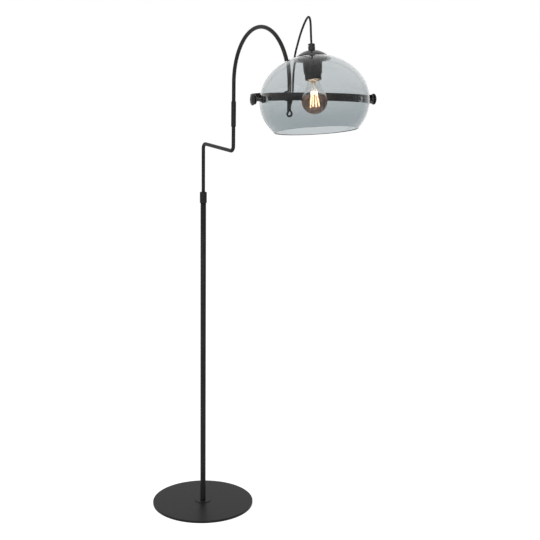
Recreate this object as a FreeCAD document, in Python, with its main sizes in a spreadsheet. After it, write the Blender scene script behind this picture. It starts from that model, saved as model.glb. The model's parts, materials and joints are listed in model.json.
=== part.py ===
import FreeCAD, Part

import math
import os
import re

import Sketcher

# Free-standing floor lamp: a round plate, a pole, a crank tube that swivels on the pole, an arched
# arm that swivels on the crank, and an open glass dome held by a bent band with three hand knobs.
# Millimetres. Origin: middle of the base on the floor, +Z up, +X from the pole towards the shade.

DIMENSIONS = {
    # base
    "pad_radius": 146.0,
    "pad_thickness": 1.0,
    "plate_radius": 150.0,
    "plate_thickness": 7.0,
    "plate_edge": 0.8,
    "rosette_radius": 24.0,
    "rosette_thickness": 1.5,
    "rosette_edge": 0.6,
    "bolt_radius": 5.0,
    "bolt_hole_clearance": 0.25,
    "countersink_radius": 10.0,
    "bolt_sink": 0.5,
    "bolt_key_width": 6.0,
    "bolt_key_depth": 3.5,
    "insert_height": 16.0,
    # pole and its upper bearing
    "pole_radius": 8.0,
    "pole_wall": 1.5,
    "collar_bottom": 914.5,
    "collar_height": 31.0,
    "collar_radius": 10.0,
    "collar_socket": 12.0,
    "collar_top_edge": 1.5,
    "collar_low_edge": 0.6,
    "bush_length": 46.0,
    "seat_gap": 87.5,
    "seat_floor": 10.0,
    "seat_cup": 12.0,
    "seat_bore_radius": 3.2,
    "inlet_height": 30.0,
    "inlet_radius": 4.0,
    "inlet_flange_radius": 6.0,
    "inlet_flange": 2.5,
    "inlet_bore_radius": 2.7,
    # clearances
    "fixed_fit": 0.05,
    "running_fit": 0.06,
    "running_gap": 0.3,
    # rods
    "rod_radius": 5.0,
    "rod_wall": 1.0,
    "rod_bend": 14.0,
    "crank_reach": 180.0,
    "bar_near_height": 1083.0,
    "bar_far_height": 1077.0,
    "ring_radius": 6.2,
    "ring_thickness": 1.0,
    "sleeve_radius": 6.5,
    "sleeve_bottom": 1143.0,
    "sleeve_height": 66.0,
    "sleeve_edge": 0.5,
    "crank_engagement": 32.0,
    "liner_wall": 0.5,
    "washer_thickness": 1.5,
    "spring_height": 1258.0,
    "arch_radius": 143.0,
    "arm_end_height": 1202.0,
    "end_bush_flange": 1.0,
    "end_bush_depth": 8.0,
    "end_bush_bore_radius": 3.6,
    "cord_inset": 5.0,
    "lead_radius": 2.5,
    "lead_start_gap": 8.0,
    # bracket: band, block and its knob
    "hinge_rise": 35.0,
    "bracket_swing": -7.0,
    "hinge_reach": 145.0,
    "band_height": 19.5,
    "band_thickness": 2.0,
    "band_flat": 24.0,
    "band_bend": 136.0,
    "tab_radius": 10.75,
    "block_radius": 8.0,
    "block_height": 18.0,
    "knob_radius": 13.0,
    "knob_neck_radius": 8.0,
    "knob_neck": 2.5,
    "knob_rim": 2.2,
    "knob_length": 9.0,
    "knob_edge": 1.2,
    "thread_radius": 3.0,
    "insert_radius": 4.5,
    "insert_length": 5.5,
    # shade and its pivots
    "shade_tilt": -10.64,
    "glass_radius": 127.0,
    "glass_height": 106.0,
    "glass_drop": 4.0,
    "glass_wall": 2.2,
    "glass_hole_radius": 36.5,
    "glass_rim_drop": 72.4,
    "pivot_hole_radius": 4.6,
    "stud_radius": 3.75,
    "stud_tail": 1.5,
    "grommet_radius": 7.75,
    "grommet_flange": 3.0,
    "glass_contact": 0.05,
    "inner_washer_radius": 7.0,
    "inner_washer": 1.5,
    "inner_washer_gap": 0.75,
    "nut_width": 13.0,
    "nut_height": 5.0,
    # cap and cord grip
    "cap_radius": 43.0,
    "cap_neck_gap": 0.7,
    "cap_shoulder": 1.2,
    "cap_crown": 112.0,
    "cap_bulge_radius": 22.2,
    "cap_bulge_drop": 4.25,
    "cap_wall": 1.2,
    "cap_rim_drop": 1.2,
    "gasket_radius": 42.5,
    "gasket_thickness": 1.0,
    "grip_radius": 8.0,
    "grip_height": 15.0,
    "grip_edge": 1.5,
    "grip_screw_radius": 2.0,
    "grip_screw_rise": 9.5,
    "grip_screw_proud": 0.5,
    "cord_radius": 2.5,
    "cord_clearance": 0.3,
    "nipple_radius": 5.0,
    "nipple_wall": 1.6,
    "nipple_grip": 6.0,
    "cap_nut_width": 14.0,
    "cap_nut_height": 4.0,
    # lampholder
    "holder_top": 90.0,
    "holder_top_radius": 22.4,
    "holder_joint": 76.5,
    "holder_joint_radius": 22.0,
    "holder_groove": 2.2,
    "holder_groove_depth": 1.0,
    "holder_ledge": 59.0,
    "holder_ledge_radius": 20.8,
    "holder_ring_radius": 19.0,
    "holder_bottom": 44.0,
    "holder_mouth_radius": 14.4,
    "holder_wall": 1.8,
    "holder_round": 2.0,
    "block_top": 82.0,
    "contact_block_height": 12.0,
    "contact_block_radius": 16.0,
    "block_flange_rise": 3.0,
    "block_flange": 2.0,
    "shell_bore_radius": 13.3,
    "shell_wall": 0.4,
    "shell_length": 20.0,
    "terminal_radius": 1.5,
    "terminal_spread": 10.0,
    "terminal_height": 4.0,
    # bulb
    "bulb_radius": 30.0,
    "bulb_centre_drop": 4.0,
    "bulb_neck_radius": 12.4,
    "bulb_neck_top": 47.0,
    "bulb_wall": 0.8,
    "bulb_cap_radius": 13.15,
    "bulb_cap_wall": 0.4,
    "bulb_cap_length": 19.0,
    "bulb_cap_taper": 2.0,
    "bulb_cap_lip": 1.0,
    "bulb_cap_bottom": 45.0,
    "bulb_insulator_height": 4.0,
    "bulb_contact_radius": 4.8,
    "bulb_contact_height": 1.2,
    "bulb_shoulder_angle": 31.0,
    "bulb_waist": 1.7,
    "bulb_waist_drop": 0.6,
    "stem_foot": 1.5,
    "stem_flare": 12.0,
    "stem_radius": 2.2,
    "stem_length": 67.5,
    "filament_radius": 1.0,
    "filament_length": 36.0,
    "filament_top": 18.0,
    "filament_inset": 5.5,
    "filament_lean": 9.0,
    "support_radius": 0.4,
}

FILAMENT_COUNT = 4

# Places worked out from the driving dimensions
PLATE_TOP = "(pad_thickness + plate_thickness)"
POLE_BORE = "(pole_radius - pole_wall)"
POLE_TOP = "(collar_bottom + collar_socket)"
COLLAR_TOP = "(collar_bottom + collar_height)"
BUSH_LOW = f"({COLLAR_TOP} - bush_length)"
SEAT_LOW = f"({BUSH_LOW} - seat_gap - seat_cup - seat_floor)"
SEAT_TOP = f"({SEAT_LOW} + seat_floor)"
CRANK_FOOT = f"({SEAT_TOP} + running_gap)"
ROD_BORE = "(rod_radius - rod_wall)"
CRANK_HEAD = "(sleeve_bottom + crank_engagement)"
WASHER_LOW = f"({CRANK_HEAD} + running_gap)"
ARM_FOOT = f"({WASHER_LOW} + washer_thickness)"
SLEEVE_TOP = "(sleeve_bottom + sleeve_height)"
ARM_TIP_X = "(crank_reach + 2 * arch_radius)"
HINGE_Z = "(arm_end_height + hinge_rise)"
HINGE_X = f"({ARM_TIP_X} + hinge_reach * cos(bracket_swing))"
HINGE_Y = "(hinge_reach * sin(bracket_swing))"
BAND_FRONT = "(block_radius + band_thickness)"
TAB_INNER = "(band_flat / 2 + band_bend - band_thickness / 2)"
TAB_OUTER = "(band_flat / 2 + band_bend + band_thickness / 2)"
KNOB_FACE = f"({TAB_OUTER} + running_gap)"
GLASS_BORE = "(glass_radius - glass_wall)"
GLASS_BORE_HEIGHT = "(glass_height - glass_wall)"
GRIP_TOP = "(cap_crown + grip_height)"
SPIGOT_RADIUS = "(holder_joint_radius - holder_groove_depth)"
BULB_CAP_TOP = "(bulb_cap_bottom + bulb_cap_length)"
BULB_CONTACT = f"({BULB_CAP_TOP} + bulb_insulator_height)"
BULB_TIP = f"({BULB_CONTACT} + bulb_contact_height)"

# Route of the pendant cord, measured from the arm's open end; it goes on to the top of the cord grip
CORD_ROUTE = [
    (0.0, 0.0, 5.0),
    (-0.4, -0.8, -1.2),
    (-1.9, -4.0, -7.1),
    (-1.6, -3.3, -11.1),
    (-0.2, -0.6, -13.7),
    (1.6, 3.0, -13.7),
    (2.8, 5.9, -11.1),
    (1.8, 7.3, -7.1),
    (-2.2, 7.3, -3.6),
    (-6.0, 6.8, -0.4),
    (-8.2, 6.2, 5.5),
    (-7.0, 8.0, 14.0),
    (-5.8, 10.9, 25.5),
    (-4.6, 12.3, 38.0),
    (-3.0, 11.6, 56.0),
    (1.0, 9.6, 79.0),
    (4.6, 8.0, 102.0),
    (11.0, 6.2, 123.0),
    (21.2, 3.6, 142.0),
    (34.0, 1.0, 159.0),
    (48.0, -2.2, 177.0),
    (64.0, -5.5, 194.0),
    (77.5, -8.0, 206.5),
    (89.0, -9.9, 215.6),
    (99.0, -11.4, 220.8),
    (107.0, -12.6, 218.5),
    (112.3, -13.5, 210.0),
    (115.0, -14.0, 198.0),
    (116.6, -14.3, 184.5),
    (118.8, -14.6, 170.7),
]

doc = FreeCAD.newDocument("GlobeFloorLamp")
sheet = doc.addObject("Spreadsheet::Sheet", "Dims")
for row, (alias, size) in enumerate(DIMENSIONS.items(), start=1):
    sheet.set(f"A{row}", alias)
    sheet.set(f"B{row}", str(size))
    sheet.setAlias(f"B{row}", alias)
doc.recompute()

parts = []


def formula(text):
    """Name each dimension in a formula by its place in the spreadsheet."""
    return re.sub(r"[a-z_]\w+", lambda word: f"Dims.{word[0]}" if word[0] in DIMENSIONS else word[0], text)


def number(text):
    """Value of a formula."""
    result = doc.getObject("Dims").evalExpression(formula(text))
    return float(getattr(result, "Value", result))


def bind(item, prop, text):
    """Tie one property of an object to a formula."""
    item.setExpression(prop, formula(text))


def place(item, x="0", y="0", z="0", yaw="0", pitch="0", roll="0"):
    """Tie an object's placement to formulas: a position, then turns about Z, Y and X."""
    where = f"create(<<vector>>; {x} + 0; {y} + 0; {z} + 0)"
    turn = f"create(<<rotation>>; {yaw} + 0; {pitch} + 0; {roll} + 0)"
    bind(item, "Placement", f"create(<<placement>>; {where}; {turn})")
    return item


def on_bracket(item):
    """Stand a piece in the bracket's frame: on the arm's end, at hinge height, swung to the side."""
    return place(item, x=ARM_TIP_X, z=HINGE_Z, yaw="bracket_swing")


def on_bracket_back(item):
    """Stand a turned piece on the bracket, its +Z pointing away from the shade."""
    return place(item, x=ARM_TIP_X, z=HINGE_Z, yaw="bracket_swing", pitch="-90")


def on_shade(item, roll="0"):
    """Stand a piece in the shade's frame: at the tilt hinge, swung and tilted."""
    return place(item, HINGE_X, HINGE_Y, HINGE_Z, "bracket_swing", "shade_tilt", roll)


def on_pivot(item, side):
    """Stand a turned piece on the hinge line, its +Z pointing out of the shade on the side given."""
    return on_shade(item, roll=str(-90 * side))


def keep(item, label):
    """Name a finished sub-part."""
    item.Label = label
    parts.append(item)
    return item


def plane(body, role):
    """One of a body's own origin planes."""
    return next(entry for entry in body.Origin.OriginFeatures if entry.Role == role)


def new_sketch(body, role, name, offset=None):
    """Sketch on an origin plane of the body, raised from it by a formula."""
    sketch = body.newObject("Sketcher::SketchObject", name)
    sketch.AttachmentSupport = (plane(body, role), [""])
    sketch.MapMode = "FlatFace"
    if offset:
        bind(sketch, "AttachmentOffset.Base.z", offset)
    return sketch


def fix_point(sketch, geometry, position, x, y):
    """Hold one point of a sketch at two formulas measured from the origin."""
    for kind, text, axis in (("DistanceX", x, -2), ("DistanceY", y, -1)):
        if text == "0":
            sketch.addConstraint(Sketcher.Constraint("PointOnObject", geometry, position, axis))
            continue
        index = sketch.addConstraint(Sketcher.Constraint(kind, -1, 1, geometry, position, number(text)))
        bind(sketch, f"Constraints[{index}]", text)


def spot(x, y):
    return FreeCAD.Vector(number(x), number(y), 0)


def fix_size(sketch, geometry, text):
    """Hold a circle's radius at a formula."""
    index = sketch.addConstraint(Sketcher.Constraint("Radius", geometry, number(text)))
    bind(sketch, f"Constraints[{index}]", text)


def add_circle(sketch, x, y, radius):
    circle = sketch.addGeometry(Part.Circle(spot(x, y), FreeCAD.Vector(0, 0, 1), number(radius)))
    fix_point(sketch, circle, 3, x, y)
    fix_size(sketch, circle, radius)


def start_of(sketch, geometry, point):
    """Which end of an edge lies at the point: its first (1) or its second (2)."""
    first = sketch.getPoint(geometry, 1).distanceToPoint(point)
    second = sketch.getPoint(geometry, 2).distanceToPoint(point)
    return 1 if first <= second else 2


def chain(sketch, points, closed=True):
    """Edges from corner to corner; a corner marked "via" bends the edge there into an arc."""
    corners = [index for index, point in enumerate(points) if len(point) == 2]
    spans = list(zip(corners, corners[1:] + corners[:1])) if closed else list(zip(corners, corners[1:]))
    edges = []
    for begin, end in spans:
        start = spot(*points[begin])
        finish = spot(*points[end])
        between = points[(begin + 1) % len(points)]
        if len(between) == 3:
            middle = spot(*between[:2])
            edge = sketch.addGeometry(Part.Arc(start, middle, finish))
            through = sketch.addGeometry(Part.Point(middle), True)
            fix_point(sketch, through, 1, *between[:2])
            sketch.addConstraint(Sketcher.Constraint("PointOnObject", through, 1, edge))
        else:
            edge = sketch.addGeometry(Part.LineSegment(start, finish))
        edges.append((edge, start_of(sketch, edge, start), begin, end))
    for (edge, side, begin, end), (after, after_side, _, _) in zip(edges, edges[1:] + edges[:1]):
        if closed or end != corners[-1]:
            sketch.addConstraint(Sketcher.Constraint("Coincident", edge, 3 - side, after, after_side))
    for edge, side, begin, end in edges:
        fix_point(sketch, edge, side, *points[begin])
    if not closed:
        edge, side, begin, end = edges[-1]
        fix_point(sketch, edge, 3 - side, *points[end])
    return [edge for edge, side, begin, end in edges]


def turned_body(name, points):
    """A body turned about its Z axis from an outline of (radius, height) corners."""
    body = doc.addObject("PartDesign::Body", name)
    sketch = new_sketch(body, "XZ_Plane", f"{name}_outline")
    chain(sketch, points)
    turn = body.newObject("PartDesign::Revolution", f"{name}_turn")
    turn.Profile = (sketch, [""])
    turn.ReferenceAxis = (sketch, ["V_Axis"])
    turn.Angle = 360
    sketch.Visibility = False
    return body


def turned(label, points):
    """A sub-part turned from its outline."""
    return keep(turned_body(label, points), label)


def ring(label, inner, outer, low, high):
    """A plain ring or, with an inner radius of 0, a disc."""
    return turned(label, [(inner, low), (outer, low), (outer, high), (inner, high)])


def cylinder(name, radius, height, x="0", y="0", z="0", pitch="0", roll="0"):
    """A round bar as a building block."""
    bar = doc.addObject("Part::Cylinder", name)
    bind(bar, "Radius", radius)
    bind(bar, "Height", height)
    return place(bar, x, y, z, "0", pitch, roll)


def boolean(kind, name, base, tool):
    result = doc.addObject(f"Part::{kind}", name)
    result.Base = base
    result.Tool = tool
    return result


def hexagon(sketch, width):
    """A hexagon about the origin, its width across flats given by a formula."""
    corner = f"({width} / (2 * cos(30)))"
    chain(sketch, [(f"{corner} * cos({60 * step})", f"{corner} * sin({60 * step})") for step in range(6)])


def hexagon_nut(label, width, height, low, bore):
    """A hexagon nut about Z."""
    body = doc.addObject("PartDesign::Body", label)
    sketch = new_sketch(body, "XY_Plane", f"{label}_outline", low)
    hexagon(sketch, width)
    add_circle(sketch, "0", "0", bore)
    pad = body.newObject("PartDesign::Pad", f"{label}_pad")
    pad.Profile = (sketch, [""])
    bind(pad, "Length", height)
    return keep(body, label)


def pipe_body(label, spine, edges, radius, bore, start):
    """A tube swept from the height given, square to Z, along the body's spine sketch."""
    body = spine.getParentGeoFeatureGroup()
    section = new_sketch(body, "XY_Plane", f"{label}_section", start[1])
    add_circle(section, start[0], "0", radius)
    add_circle(section, start[0], "0", bore)
    doc.recompute()
    pipe = body.newObject("PartDesign::AdditivePipe", f"{label}_sweep")
    pipe.Profile = (section, [""])
    pipe.Spine = (spine, [f"Edge{edge + 1}" for edge in range(edges)])
    return keep(body, label)


def half_turn(before, corner, after):
    """Half of the angle through which a path turns at a corner, in radians."""
    return (math.pi - (before - corner).getAngle(after - corner)) / 2


def bend(before, corner, after, radius):
    """Start, middle and end of the arc that rounds a corner, tangent to both its runs."""
    half = half_turn(before, corner, after)
    back = (before - corner).normalize()
    ahead = (after - corner).normalize()
    inward = (back + ahead).normalize()
    reach = radius * math.tan(half)
    middle = corner + inward * (radius / math.cos(half) - radius)
    return corner + back * reach, middle, corner + ahead * reach


def rounded_path(points, radii=None):
    """Straight runs through the points, joined by tangent arcs.

    Without given radii, an arc's radius is 0.45 of the shorter of its two runs, divided by the
    tangent of half the turn. Returns the wire, its length and the radii.
    """
    places = [FreeCAD.Vector(*point) for point in points]
    corners = list(zip(places, places[1:], places[2:]))
    if not radii:
        radii = [0.45 * min((before - corner).Length, (after - corner).Length)
                 / math.tan(half_turn(before, corner, after)) for before, corner, after in corners]
    edges = []
    here = places[0]
    for (before, corner, after), radius in zip(corners, radii):
        first, middle, last = bend(before, corner, after, radius)
        edges.append(Part.LineSegment(here, first).toShape())
        edges.append(Part.Arc(first, middle, last).toShape())
        here = last
    edges.append(Part.LineSegment(here, places[-1]).toShape())
    wire = Part.Wire(edges)
    return wire, wire.Length, radii


def rounded_chain(sketch, corners, radius):
    """Open chain of sketch edges whose inner corners are tangent arcs. Returns how many edges."""
    places = [spot(*corner) for corner in corners]
    arcs = [bend(*places[index:index + 3], number(radius)) for index in range(len(places) - 2)]
    starts = [places[0]] + [arc[2] for arc in arcs]
    ends = [arc[0] for arc in arcs] + [places[-1]]
    order = []
    for index, (first, last) in enumerate(zip(starts, ends)):
        order.append(sketch.addGeometry(Part.LineSegment(first, last)))
        if index < len(arcs):
            order.append(sketch.addGeometry(Part.Arc(*arcs[index])))
    for index, corner in enumerate(corners[1:-1]):
        before, arc, after = order[2 * index:2 * index + 3]
        mark = sketch.addGeometry(Part.Point(spot(*corner)), True)
        fix_point(sketch, mark, 1, *corner)
        side = start_of(sketch, arc, arcs[index][0])
        sketch.addConstraint(Sketcher.Constraint("Tangent", before, 2, arc, side))
        sketch.addConstraint(Sketcher.Constraint("Tangent", arc, 3 - side, after, 1))
        for line in (before, after):
            sketch.addConstraint(Sketcher.Constraint("PointOnObject", mark, 1, line))
        fix_size(sketch, arc, radius)
    fix_point(sketch, order[0], 1, *corners[0])
    fix_point(sketch, order[-1], 2, *corners[-1])
    return len(order)


def cord(label, points, radius, radii=None):
    """A round cord along the rounded path through the points."""
    wire, length, used = rounded_path(points, radii)
    start = FreeCAD.Vector(*points[0])
    direction = FreeCAD.Vector(*points[1]) - start
    face = Part.Face(Part.Wire(Part.Circle(start, direction, radius).toShape()))
    item = doc.addObject("Part::Feature", label)
    item.Shape = Part.Wire(wire.Edges).makePipeShell([face.OuterWire], True, False)
    ideal = math.pi * radius ** 2 * length
    print(f"{label}: length {length:.1f}, volume {item.Shape.Volume:.1f} of {ideal:.1f},",
          "radii", " ".join(f"{value:.1f}" for value in used))
    item.Placement = FreeCAD.Placement()
    return keep(item, label)


# ---------------------------------------------------------------- base and pole

def base_pad():
    """Foam sheet under the plate and the bolt's head."""
    ring("base_pad", "0", "pad_radius", "0", "pad_thickness")


def base_plate():
    """Heavy round steel plate, countersunk from below for the pole's bolt."""
    hole = "(bolt_radius + bolt_hole_clearance)"
    turned("base_plate", [
        (hole, PLATE_TOP),
        (hole, f"pad_thickness + countersink_radius - {hole}"),
        ("countersink_radius", "pad_thickness"),
        ("plate_radius - plate_edge", "pad_thickness"),
        ("plate_radius", "pad_thickness + plate_edge"),
        ("plate_radius", f"{PLATE_TOP} - plate_edge"),
        ("plate_radius - plate_edge", PLATE_TOP),
    ])


def base_bolt():
    """Countersunk bolt with a hexagon socket, which pulls the pole's foot onto the plate."""
    low = "(pad_thickness + bolt_sink)"
    body = turned_body("base_bolt", [
        ("0", low),
        ("countersink_radius - bolt_sink", low),
        ("bolt_radius", "pad_thickness + countersink_radius - bolt_radius"),
        ("bolt_radius", f"{PLATE_TOP} + insert_height - running_gap"),
        ("0", f"{PLATE_TOP} + insert_height - running_gap"),
    ])
    sketch = new_sketch(body, "XY_Plane", "base_bolt_key", low)
    hexagon(sketch, "bolt_key_width")
    doc.recompute()
    whole = body.Shape.Volume
    socket = body.newObject("PartDesign::Pocket", "base_bolt_socket")
    socket.Profile = (sketch, [""])
    bind(socket, "Length", "bolt_key_depth")
    socket.Reversed = True
    doc.recompute()
    if body.Shape.Volume >= whole:
        raise RuntimeError("the bolt's socket cuts nothing")
    keep(body, "base_bolt")


def pole_foot_insert():
    """Threaded steel plug brazed into the pole's foot."""
    ring("pole_foot_insert", "bolt_radius + fixed_fit", f"{POLE_BORE} - fixed_fit",
         PLATE_TOP, f"{PLATE_TOP} + insert_height")


def foot_rosette():
    """Thin disc round the pole's foot."""
    high = f"({PLATE_TOP} + rosette_thickness)"
    turned("foot_rosette", [
        ("pole_radius + fixed_fit", PLATE_TOP),
        ("rosette_radius", PLATE_TOP),
        ("rosette_radius", f"{high} - rosette_edge"),
        ("rosette_radius - rosette_edge", high),
        ("pole_radius + fixed_fit", high),
    ])


def pole_tube():
    """Steel tube with a hole for the mains inlet at its back."""
    length = f"{POLE_TOP} - {PLATE_TOP}"
    outside = cylinder("pole_outside", "pole_radius", length, z=PLATE_TOP)
    bore = cylinder("pole_bore", POLE_BORE, length, z=PLATE_TOP)
    wall = boolean("Cut", "pole_wall_tube", outside, bore)
    inlet = cylinder("pole_inlet", "inlet_radius + fixed_fit", "2 * pole_radius", z="inlet_height", pitch="-90")
    keep(boolean("Cut", "pole_tube", wall, inlet), "pole_tube")


def cord_bushing():
    """Nylon bushing in the inlet hole: a flange shaped to the pole, a neck and a bore."""
    flange = cylinder("bushing_flange", "inlet_flange_radius", "pole_radius + inlet_flange",
                      z="inlet_height", pitch="-90")
    pole = cylinder("bushing_seat", "pole_radius + fixed_fit", "4 * inlet_flange_radius",
                    z="inlet_height - 2 * inlet_flange_radius")
    shaped = boolean("Cut", "bushing_flange_cut", flange, pole)
    neck = cylinder("bushing_neck", "inlet_radius", f"pole_radius + inlet_flange / 2 - {POLE_BORE} + pole_wall",
                    x=f"0 - {POLE_BORE} + pole_wall", z="inlet_height", pitch="-90")
    solid = boolean("Fuse", "bushing_solid", shaped, neck)
    bore = cylinder("bushing_bore", "inlet_bore_radius", "2 * pole_radius", z="inlet_height", pitch="-90")
    keep(boolean("Cut", "cord_bushing", solid, bore), "cord_bushing")


def collar():
    """Turned cap of the pole: a socket over the pole's end, then the bearing's seat."""
    socket = "(pole_radius + fixed_fit)"
    turned("collar", [
        (socket, "collar_bottom"),
        ("collar_radius - collar_low_edge", "collar_bottom"),
        ("collar_radius", "collar_bottom + collar_low_edge"),
        ("collar_radius", f"{COLLAR_TOP} - collar_top_edge"),
        ("collar_radius - collar_top_edge", COLLAR_TOP),
        (POLE_BORE, COLLAR_TOP),
        (POLE_BORE, POLE_TOP),
        (socket, POLE_TOP),
    ])


def swivel_bush():
    """Long nylon bush in which the crank turns."""
    ring("swivel_bush", "rod_radius + running_fit", f"{POLE_BORE} - fixed_fit",
         BUSH_LOW, f"{COLLAR_TOP} - collar_low_edge")


def pivot_seat():
    """Nylon cup in the pole that carries the crank's foot."""
    rim = f"({SEAT_TOP} + seat_cup)"
    turned("pivot_seat", [
        ("seat_bore_radius", SEAT_LOW),
        (f"{POLE_BORE} - fixed_fit", SEAT_LOW),
        (f"{POLE_BORE} - fixed_fit", rim),
        ("rod_radius + running_fit", rim),
        ("rod_radius + running_fit", SEAT_TOP),
        ("seat_bore_radius", SEAT_TOP),
    ])


def lead_in_pole():
    """Lead inside the pole, up to the crank's foot."""
    low = "(inlet_height + inlet_radius + lead_start_gap)"
    keep(cylinder("lead_in_pole", "lead_radius", f"{CRANK_FOOT} - {low}", z=low), "lead_in_pole")


# ---------------------------------------------------------------- crank

def crank_tube():
    """Bent tube: up out of the pole, across to the second swivel and up again."""
    body = doc.addObject("PartDesign::Body", "crank_tube")
    spine = new_sketch(body, "XZ_Plane", "crank_tube_spine")
    corners = [("0", CRANK_FOOT), ("0", "bar_near_height"),
               ("crank_reach", "bar_far_height"), ("crank_reach", CRANK_HEAD)]
    edges = rounded_chain(spine, corners, "rod_bend")
    pipe_body("crank_tube", spine, edges, "rod_radius", ROD_BORE, corners[0])


def crank_ring():
    """Retaining ring in the crank's groove, under the long bush."""
    high = f"({BUSH_LOW} - running_gap)"
    ring("crank_ring", "rod_radius + fixed_fit", "ring_radius", f"{high} - ring_thickness", high)


def lead_in_crank():
    """Lead along the middle of the crank."""
    low = (0, 0, number(CRANK_FOOT))
    near = (0, 0, number("bar_near_height"))
    far = (number("crank_reach"), 0, number("bar_far_height"))
    high = (number("crank_reach"), 0, number(WASHER_LOW))
    cord("lead_in_crank", [low, near, far, high], number("lead_radius"), [number("rod_bend")] * 2)


# ---------------------------------------------------------------- arm

def swivel_sleeve():
    """Sleeve brazed to the arm's foot, which turns on the crank's head."""
    turned_piece = turned("swivel_sleeve", [
        ("rod_radius + running_fit + liner_wall + fixed_fit", "sleeve_bottom"),
        ("sleeve_radius - sleeve_edge", "sleeve_bottom"),
        ("sleeve_radius", "sleeve_bottom + sleeve_edge"),
        ("sleeve_radius", f"{SLEEVE_TOP} - sleeve_edge"),
        ("sleeve_radius - sleeve_edge", SLEEVE_TOP),
        ("rod_radius + fixed_fit", SLEEVE_TOP),
        ("rod_radius + fixed_fit", ARM_FOOT),
        ("rod_radius + running_fit + liner_wall + fixed_fit", ARM_FOOT),
    ])
    place(turned_piece, x="crank_reach")


def sleeve_liner():
    """Thin nylon liner between the crank's head and the sleeve."""
    liner = ring("sleeve_liner", "rod_radius + running_fit", "rod_radius + running_fit + liner_wall",
                 "sleeve_bottom + sleeve_edge", WASHER_LOW)
    place(liner, x="crank_reach")


def thrust_washer():
    """Nylon washer on which the arm's weight turns."""
    washer = ring("thrust_washer", f"{ROD_BORE}", "rod_radius + running_fit + liner_wall", WASHER_LOW, ARM_FOOT)
    place(washer, x="crank_reach")


def arm_tube():
    """Arched tube: up out of the sleeve, over a half circle and down to its open end."""
    body = doc.addObject("PartDesign::Body", "arm_tube")
    spine = new_sketch(body, "XZ_Plane", "arm_tube_spine")
    edges = chain(spine, [
        ("crank_reach", ARM_FOOT),
        ("crank_reach", "spring_height"),
        ("crank_reach + arch_radius", "spring_height + arch_radius", "via"),
        (ARM_TIP_X, "spring_height"),
        (ARM_TIP_X, "arm_end_height"),
    ], closed=False)
    pipe_body("arm_tube", spine, len(edges), "rod_radius", ROD_BORE, ("crank_reach", ARM_FOOT))


def arm_end_bush():
    """Nylon bush that keeps the cord off the tube's cut end."""
    bush = turned("arm_end_bush", [
        ("end_bush_bore_radius", "arm_end_height"),
        ("end_bush_bore_radius + end_bush_flange / 2", "arm_end_height - end_bush_flange"),
        ("rod_radius", "arm_end_height - end_bush_flange"),
        ("rod_radius", "arm_end_height"),
        (f"{ROD_BORE} - fixed_fit", "arm_end_height"),
        (f"{ROD_BORE} - fixed_fit", "arm_end_height + end_bush_depth"),
        ("end_bush_bore_radius", "arm_end_height + end_bush_depth"),
    ])
    place(bush, x=ARM_TIP_X)


def lead_in_arm():
    """Cord inside the arm, from the second swivel to the open end, as one sweep over the arch."""
    x_low = number("crank_reach")
    x_high = number(ARM_TIP_X)
    spring = number("spring_height")
    crown = FreeCAD.Vector((x_low + x_high) / 2, 0, spring + number("arch_radius"))
    end = number("arm_end_height + cord_inset + 2 * running_gap")
    stops = [FreeCAD.Vector(x_low, 0, number(WASHER_LOW)), FreeCAD.Vector(x_low, 0, spring),
             FreeCAD.Vector(x_high, 0, spring), FreeCAD.Vector(x_high, 0, end)]
    wire = Part.Wire([Part.LineSegment(stops[0], stops[1]).toShape(),
                      Part.Arc(stops[1], crown, stops[2]).toShape(),
                      Part.LineSegment(stops[2], stops[3]).toShape()])
    section = Part.Wire(Part.Circle(stops[0], FreeCAD.Vector(0, 0, 1), number("lead_radius")).toShape())
    item = doc.addObject("Part::Feature", "lead_in_arm")
    item.Shape = wire.makePipeShell([section], True, False)
    item.Placement = FreeCAD.Placement()
    keep(item, "lead_in_arm")


# ---------------------------------------------------------------- bracket

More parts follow.
